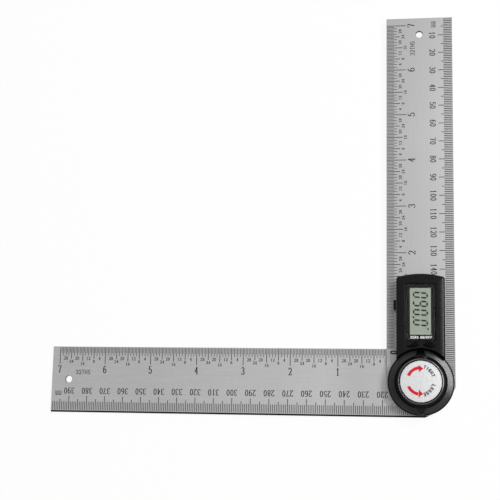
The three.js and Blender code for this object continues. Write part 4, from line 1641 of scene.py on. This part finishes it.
        under, over = self.low - self.overrun, self.top + self.overrun
        roof, half = self.roof_underside, self.window_half
        inside = stacked("hollow", [self.outline(self.wall, height) for height in (under, roof)])
        carve(inside, [rod(self.cavity_radius, under - self.overrun, roof + self.overrun)])
        recess, opening = [(0.0, self.lens_seat)], [(1.0, roof - self.overrun)]
        recess += [(inset, self.top + rise) for inset, rise in self.recess_flare]
        opening += [(size, self.top + rise) for size, rise in self.opening_flare]
        return [
            rod(self.well_radius, self.drum_top, over),
            inside,
            rod(self.drum_inner, under, self.drum_ceiling),
            box(-self.tab_half, self.tab_half, 0.0, self.tab_far, under, self.drum_ceiling),
            rod(self.hub_hole, under, self.drum_top + self.overrun),
            box(self.tray_outer, self.tray_inner, self.tray_near, self.tray_far, under, self.tray_ceiling),
            box(-half, half, self.window_near, self.window_far, roof - self.overrun, over),
            self.plate("lens_recess", self.lens_near, self.lens_far, self.lens_half, recess),
            self.leaf("button_opening", -1, opening, self.button_gap),
            self.leaf("button_opening", 1, opening, self.button_gap),
        ]

    def housing(self) -> None:
        """Builds the housing: a rounded shell, hollowed, with its openings cut."""
        housing = carve(self.shell(), self.cutters())
        housing.name = "module_housing"
        settle(housing)
        fit(housing, "upper_arm", "housing_plastic", HOUSING_BLACK.material())
        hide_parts("front_housing")

    def lens(self) -> None:
        """Builds the clear lens with its dark sides, and the two words printed on it."""
        gap, edge = self.fit_gap, self.lens_edge
        levels = [(0.0, self.lens_bottom), (0.0, self.lens_top - edge), (edge, self.lens_top)]
        near, far, half = self.lens_near + gap, self.lens_far - gap, self.lens_half - gap
        lens = self.plate("module_lens", near, far, half, levels, self.lens_crisp)
        fit(lens, "upper_arm", "lens_clear", LENS.material())
        lens.data.materials.append(KNOB_BLACK.material())
        for face in lens.data.polygons:
            face.material_index = int(abs(face.normal.z) < self.lens_side)
        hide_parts("display_lens")
        sheet = PrintSheet()
        for words, place in self.word_places:
            sheet.line(words, self.word_style, place, 0.0)
        words = sheet.raise_from("module_words", self.lens_top, self.print_depth)
        fit(words, "upper_arm", "print_white", WHITE_PRINT.material())

    def figure(self, sheet: PrintSheet, lit: str, start: float) -> None:
        """Adds one seven-part figure of the display, which reads along -Y with its head to +X.

        Args:
            sheet: Where it goes.
            lit: Which of its parts show, a to g.
            start: Where it starts along Y.
        """
        half = self.part_width / 2

        def bar(low: float, high: float) -> list[Point]:
            """A bar with pointed ends, along its own line.

            Args:
                low: Where its room starts.
                high: Where its room ends.

            Returns:
                The outline, as places along and across that line.
            """
            low, high = low + self.part_gap, high - self.part_gap
            upper = [(low, 0.0), (low + half, half), (high - half, half)]
            return upper + [(high, 0.0), (high - half, -half), (low + half, -half)]

        right, middle, head = self.figure_wide - half, self.figure_tall / 2, self.figure_tall - half
        level, lower, upper = bar(half, right), bar(half, middle), bar(middle, head)
        levels = (("a", head), ("g", middle), ("d", half))
        uprights = (("b", right, upper), ("c", right, lower), ("e", half, lower), ("f", half, upper))
        parts = {part: [(x, up + y) for x, y in level] for part, up in levels}
        parts |= {part: [(across + y, x) for x, y in bars] for part, across, bars in uprights}
        lean = math.tan(math.radians(self.figure_lean))
        for part in lit:
            leant = [(up, across + lean * (up - middle)) for across, up in parts[part]]
            sheet.shape([(self.figure_foot + up, start - across) for up, across in leant])

    def reading(self) -> None:
        """Lays the figures 090.0 and the degree mark on the display."""
        sheet = PrintSheet()
        for sign, start in zip("0900", self.figure_starts):
            self.figure(sheet, LIT_PARTS[sign], start)
        sheet.bar(*self.point_corners)
        reach, steps = (self.degree_radius, 0.0), self.degree_steps
        sheet.shape([swung(reach, 360 * step / steps, self.degree_centre) for step in range(steps)])
        reading = sheet.raise_from("module_reading", self.panel_top, self.print_depth)
        fit(reading, "upper_arm", "display_ink", DISPLAY_INK.material())

    def buttons(self) -> None:
        """Builds the two domed push buttons."""
        levels = [(1.0, self.button_bottom)]
        levels += [(size, self.button_top - drop) for size, drop in self.button_dome]
        for name, body, node, sign in (
            ("zero_key_cap", "zero_key", "zero_button", -1),
            ("power_key_cap", "power_key", "on_off_button", 1),
        ):
            cap = self.leaf(name, sign, levels)
            fit(cap, body, "button_plastic", BUTTON_BLACK.material())
            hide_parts(node)

    def insides(self) -> None:
        """Dresses what the module holds, the drawer and the cell too."""
        for node, finish in (
            ("base_cover", HOUSING_BLACK),
            ("lcd_panel", DISPLAY),
            ("lcd_frame", NYLON),
            ("contact_strip", RUBBER_BLACK),
            ("main_board", LAMINATE),
            ("driver_chip", CHIP),
            ("sensor_ribbon", FILM),
            ("encoder_stator", LAMINATE),
            ("button_pad", SILICONE),
            ("negative_contact", BRIGHT),
            ("positive_contact", BRIGHT),
            ("battery_tray", HOUSING_BLACK),
            ("coin_cell", CELL_STEEL),
        ):
            FairSurfaces.dress(node, finish.material())
        for number in range(1, 5):
            low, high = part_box(f"module_screw_{number}")
            middle = ((low.x + high.x) / 2 / MM, (low.y + high.y) / 2 / MM)
            head = replace(SCREW_STEEL, name=f"screw_steel_{number}", centre=middle)
            FairSurfaces.dress(f"module_screw_{number}", head.material())

    def build(self) -> None:
        """Builds and dresses the whole module."""
        self.housing()
        self.lens()
        self.reading()
        self.buttons()
        self.insides()


# Knob


@dataclass(frozen=True)
class Arrow:
    """One curved arrow of the knob's label; sizes are in millimetres, angles in degrees from +X."""

    centre: Point
    radius: float
    tail: float
    neck: float  # where its head starts
    head: tuple[Point, Point, Point]  # two back corners and the tip
    half: float = 0.8

    def draw(self, sheet: PrintSheet) -> None:
        """Adds the arrow to a sheet.

        Args:
            sheet: Where it goes.
        """
        outer, inner = self.radius + self.half, self.radius - self.half
        strip = arc(*self.centre, outer, outer, self.tail, self.neck)
        strip += arc(*self.centre, inner, inner, self.neck, self.tail)
        if self.neck < self.tail:
            strip.reverse()
        count = len(strip)
        outlines = [list(range(count)), list(range(count, count + 3))]
        sheet.shape(*merged(strip + list(self.head), outlines))


@dataclass
class LockKnob:
    """The lock knob: flanged hub with two finger wings and a silver label; sizes are in millimetres."""

    facets: int = 160
    crisp: float = 40.0  # degrees above which an edge stays crisp, and so for the next two
    flange_crisp: float = 8.0
    wing_crisp: float = 45.0
    flange_radius: float = 17.2
    under: float = 9.75
    flange_top: float = 10.85
    flange_lip: float = 0.12  # how far it stands over that height where it rolls over
    roll_radius: float = 16.45
    roll_rise: float = 0.1
    roll_drop: float = 0.05
    roll_below: float = 0.3
    roll_above: float = 0.6
    foot_radius: float = 13.6
    foot_top: float = 11.66
    foot_wall: float = 0.45
    foot_curve: tuple[Point, ...] = ((0.0, 0.0), (0.3, 0.25), (0.42, 0.7))  # inward and up from the foot
    top_radius: float = 12.0
    top_wall: float = 1.65
    rim_top: float = 18.55
    rim_section: tuple[Point, ...] = (  # outward from the recess and down from the top
        (0.0, 0.35),
        (0.6, 0.35),
        (0.6, 0.16),
        (0.55, 0.11),
        (0.05, 0.0),
        (0.0, 0.04),
    )
    hub_drop: float = 0.2  # how far the hub stays under the rim's top
    hub_round: float = 0.4
    lip_round: float = 0.12
    recess_radius: float = 11.15
    recess_floor: float = 17.9
    boss_radius: float = 6.6
    boss_low: float = 10.0
    bore_radius: float = 4.8
    bore_top: float = 15.75
    hollow_top: float = 15.0
    wing_top: float = 17.65
    wing_foot: float = 10.9
    wing_soft: float = 0.45
    wing_flare: float = 0.08  # share of its half width that it is wider by at its foot
    wing_root: tuple[Point, ...] = ((1.0, 0.0), (0.3, 0.9), (0.0, 1.6))  # share of that, height over the foot
    wing_stations: tuple[Corner, ...] = (  # reach from the axis, half width and drop from its top
        (10.6, 3.5, 0.0),
        (11.9, 3.4, 0.0),
        (12.5, 3.15, 0.0),
        (13.15, 2.8, 0.0),
        (13.9, 2.45, 0.9),
        (14.8, 2.1, 2.05),
        (15.6, 1.8, 3.1),
        (16.3, 1.55, 4.0),
        (16.65, 1.35, 4.5),
        (16.8, 1.05, 4.8),
    )
    label_radius: float = 10.55
    label_low: float = 17.95
    label_top: float = 18.3
    label_round: float = 0.14
    arrows: tuple[Arrow, ...] = (
        Arrow((0.0, 0.0), 7.1, 156, 98, ((-1.1, 4.75), (1.25, 6.55), (-1.1, 8.45))),
        Arrow((-0.2, 0.3), 6.8, 205, 260, ((-1.1, -4.0), (-1.3, -8.0), (1.05, -6.4))),
    )
    words: tuple[tuple[str, float, float], ...] = (("TIGHT", 68, 21), ("LOOSE", -19.5, -69.5))
    word_style: Style = Style(1.9, 1.25, 0.2, 0.46, 0.42)
    word_centre: Point = (-0.8, 0.45)
    word_radius: float = 7.45

    def hollow_at(self, height: float) -> float:
        """Radius of the hollow inside the hub at a height."""
        low, high = self.foot_radius - self.foot_wall, self.top_radius - self.top_wall
        return low + (high - low) * (height - self.flange_top) / (self.hollow_top - self.flange_top)

    def flange(self) -> bpy.types.Object:
        """Turns the flange, which falls away outward.

        Returns:
            The object.
        """
        inner, outer = self.hollow_at(self.flange_top), self.roll_radius
        profile = [(inner, self.under), (outer, self.under), (outer, self.flange_top + self.flange_lip)]
        profile += [(radius, self.foot_top) for radius in (self.foot_radius, self.hollow_at(self.foot_top))]
        profile.append((inner, self.flange_top))
        return turned("knob_flange", profile, self.facets, self.flange_crisp)

    def edge(self) -> bpy.types.Object:
        """Turns the dark rolled edge round the flange.

        Returns:
            The object.
        """
        low, high = (self.flange_radius, self.under), (self.flange_radius, self.flange_top - self.roll_drop)
        start, end = (self.roll_radius, self.under), (self.roll_radius, self.flange_top + self.roll_rise)
        profile = [start] + rounded(low, start, high, self.roll_below, steps=4)
        profile += rounded(high, low, end, self.roll_above, steps=7) + [end]
        return turned("knob_edge", profile, self.facets, self.crisp)

    def hub(self) -> bpy.types.Object:
        """Turns the hub, hollow inside round its threaded boss.

        Returns:
            The object.
        """
        rim = (self.top_radius, self.rim_top - self.hub_drop)
        lip, floor = [(self.recess_radius, height) for height in (rim[1], self.recess_floor)]
        profile = [
            (0.0, self.bore_top),
            (self.bore_radius, self.bore_top),
            (self.bore_radius, self.boss_low),
            (self.boss_radius, self.boss_low),
            (self.boss_radius, self.hollow_top),
            (self.hollow_at(self.hollow_top), self.hollow_top),
            (self.hollow_at(self.foot_top), self.foot_top),
        ]
        profile += [(self.foot_radius - inward, self.foot_top + up) for inward, up in self.foot_curve]
        profile += rounded(rim, profile[-1], lip, self.hub_round, steps=6)
        profile += rounded(lip, rim, floor, self.lip_round, steps=3) + [floor, (0.0, self.recess_floor)]
        return turned("knob_hub", profile, self.facets, self.crisp)

    def rim(self) -> bpy.types.Object:
        """Turns the narrow bezel round the label's recess, which falls away outward.

        Returns:
            The object.
        """
        profile = [(self.recess_radius + outward, self.rim_top - down) for outward, down in self.rim_section]
        return turned("knob_rim", profile, self.facets, self.crisp)

    def wing(self, name: str, sign: int) -> bpy.types.Object:
        """Lofts one finger wing, flared where it leaves the hub and rounded along its top.

        Args:
            name: Name of the piece.
            sign: +1 for the wing towards +Y.

        Returns:
            The object.
        """
        rings = []
        for reach, half, drop in self.wing_stations:
            top, flare = self.wing_top - drop, self.wing_flare * half
            soft = min(self.wing_soft, half * 0.5)
            side = [(half + flare * share, self.wing_foot + up) for share, up in self.wing_root]
            side += [(half, top - soft), (half - soft * 0.3, top - soft * 0.3), (half - soft, top)]
            section = side + [(-x, z) for x, z in reversed(side)]
            rings.append([(sign * x, sign * reach, z) for x, z in section])
        return stacked(name, rings, self.wing_crisp)

    def label(self) -> None:
        """Builds the label disc and prints its arrows and two words."""
        rim, middle = (self.label_radius, self.label_top), (0.0, self.label_top)
        profile = [(0.0, self.label_low), (self.label_radius, self.label_low)]
        profile += rounded(rim, profile[-1], middle, self.label_round, steps=4) + [middle]
        disc = turned("knob_disc", profile, self.facets)
        fit(disc, "knob", "label_silver", FOIL.material())
        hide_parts("knob_label")
        red, black = PrintSheet(), PrintSheet()
        for arrow in self.arrows:
            arrow.draw(red)
        for word, start, end in self.words:
            black.curved(word, self.word_style, self.word_centre, self.word_radius, start, end)
        fit(red.raise_from("knob_arrows", self.label_top), "knob", "arrow_red", RED_PRINT.material())
        fit(black.raise_from("knob_words", self.label_top), "knob", "print_black", BLACK_PRINT.material())

    def build(self) -> None:
        """Builds the knob and dresses what it hides."""
        hub = self.hub()
        fit(hub, "knob", "knob_plastic", KNOB_BLACK.material())
        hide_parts("lock_knob")
        fit(self.flange(), "knob", "knob_plastic", KNOB_SATIN.material())
        fit(self.edge(), "knob", "knob_plastic", KNOB_WING.material())
        fit(self.rim(), "knob", "knob_plastic", KNOB_RIM.material())
        for name, sign in (("knob_wing_far", 1), ("knob_wing_near", -1)):
            fit(self.wing(name, sign), "knob", "knob_plastic", KNOB_WING.material())
        self.label()
        for node, finish in (("knob_insert", BRASS), ("knob_washer", BRIGHT)):
            FairSurfaces.dress(node, finish.material())


@dataclass
class PivotStack:
    """The stud, washers, bush and angle sensor on the pivot."""

    def build(self) -> None:
        """Dresses the pieces on the pivot."""
        for node, finish in (
            ("pivot_stud", BRIGHT),
            ("friction_washer", NYLON),
            ("pivot_bush", BRASS),
            ("rotor_hub", BRASS),
            ("encoder_rotor", LAMINATE),
        ):
            FairSurfaces.dress(node, finish.material())


# Studio


@dataclass(frozen=True)
class Softbox:
    """One soft lamp that hangs over the pivot and faces it."""

    name: str
    lean: float  # degrees from straight above
    bearing: float  # degrees from +X towards +Y
    size: Point  # metres
    radiance: float
    distance: float = 1.3

    def hang(self) -> None:
        """Adds the lamp to the scene."""
        across, height = polar(1.0, 90 - self.lean)
        x, y = polar(across, self.bearing)
        away = Vector((x, y, height))
        lamp = bpy.data.lights.new(self.name, "AREA")
        lamp.shape = "RECTANGLE"
        lamp.size, lamp.size_y = self.size
        lamp.energy = self.radiance * math.pi * self.size[0] * self.size[1]
        holder = bpy.data.objects.new(self.name, lamp)
        holder.location = away * self.distance
        holder.rotation_mode = "QUATERNION"
        holder.rotation_quaternion = away.to_track_quat("Z", "Y")
        bpy.context.scene.collection.objects.link(holder)


@dataclass
class Studio:
    """Pale floor, soft key lamp, even sky and the camera."""

    camera_place: Corner = (-0.001579, -0.035252, 0.610192)
    camera_right: Corner = (0.98944359, 0.02030928, -0.14348841)
    camera_up: Corner = (0.00472063, 0.98508905, 0.17198029)
    camera_ahead: Corner = (-0.14484171, 0.17084207, -0.97459419)
    lens: float = 82.262
    sensor: float = 36.0
    sight: Point = (0.01, 20.0)  # nearest and farthest that the camera sees, in metres
    key: Softbox = Softbox("key_lamp", 30.0, 24.0, (0.85, 0.2), 31.0)
    fill: Softbox = Softbox("fill_lamp", 50.0, 108.0, (0.5, 0.3), 1.2)
    sky: float = 0.22
    floor_half: float = 3.0
    floor_levels: Point = (-20.0, -0.1)  # millimetres

    def floor(self) -> None:
        """Lays the pale floor."""
        half = self.floor_half / MM
        corners = [(-half, -half), (half, -half), (half, half), (-half, half)]
        floor = stacked("studio_floor", [[(x, y, z) for x, y in corners] for z in self.floor_levels])
        floor.data.materials.append(Paper("studio_floor").material())

    def lamps(self) -> None:
        """Hangs the two softboxes and sets the sky."""
        self.key.hang()
        self.fill.hang()
        world = bpy.data.worlds.new("studio_sky")
        world.use_nodes = True
        wiring = Wiring(world.node_tree)
        sky = next(node for node in world.node_tree.nodes if node.type == "BACKGROUND")
        strength = wiring.ramp(backdrop_rays(wiring), 0.0, 1.0, self.sky, 1.0)
        wiring.feed(sky, {"Color": (1, 1, 1, 1), "Strength": strength})
        bpy.context.scene.world = world

    def camera(self) -> None:
        """Sets the camera where the photograph was taken from."""
        camera = bpy.data.cameras.new("studio_camera")
        camera.lens = self.lens
        camera.sensor_width = self.sensor
        camera.clip_start, camera.clip_end = self.sight
        holder = bpy.data.objects.new("studio_camera", camera)
        back = tuple(-share for share in self.camera_ahead)
        columns = (self.camera_right, self.camera_up, back, self.camera_place)
        rows = [[column[row] for column in columns] for row in range(3)]
        holder.matrix_world = Matrix(rows + [[0, 0, 0, 1]])
        bpy.context.scene.collection.objects.link(holder)
        bpy.context.scene.camera = holder

    def build(self) -> None:
        """Sets up the studio."""
        bpy.context.scene.view_settings.view_transform = "Standard"
        self.floor()
        self.lamps()
        self.camera()


def main() -> None:
    """Builds every sub-assembly in order."""
    logging.basicConfig(level=logging.INFO, format="%(name)s %(message)s")
    lower = Rule(
        arm=Arm.LOWER,
        node="lower_blade",
        top=3.05,
        steel=STEEL_X,
        inches=InchBand(
            side=1,
            edge=17.4,
            whole=8.3,
            half=9.9,
            quarter=11.15,
            sixteenth=12.85,
            fine=14.3,
            eighth_row=(12.3, 10.5),
            quarter_row=(10.6, 8.95),
            half_row=(9.3, 7.65),
            whole_row=(7.45, 3.35),
        ),
        metric=MetricBand(side=-1, edge=16.6, ten=9.15, five=10.75, one=12.15, row=(4.6, 7.95)),
        inch_turn=0.0,
        metric_turn=180.0,
        note_across=3.9,
        unit_across=-7.45,
        first_inch_mark=1,
        figures=Style(4.0, 1.85, 0.36, 0.5, 0.26),
    )
    upper = Rule(
        arm=Arm.UPPER,
        node="upper_blade",
        top=5.35,
        steel=STEEL_Y,
        inches=InchBand(
            side=-1,
            edge=17.5,
            whole=7.2,
            half=8.95,
            quarter=10.5,
            sixteenth=12.1,
            fine=13.65,
            eighth_row=(11.2, 9.64),
            quarter_row=(9.64, 8.08),
            half_row=(8.43, 6.87),
            whole_row=(6.3, 2.5),
        ),
        metric=MetricBand(side=1, edge=17.5, ten=10.07, five=11.64, one=13.04, row=(5.45, 8.7)),
        inch_turn=90.0,
        metric_turn=-90.0,
        note_across=-3.7,
        unit_across=7.7,
        nought=(15.8, -14.1),
        fine_mark=0.41,
    )
    for part in (Studio(), lower, upper, PivotStack(), DisplayModule(), LockKnob()):
        part.build()
        LOG.info("%s built", type(part).__name__)


if __name__ == "__main__":
    main()
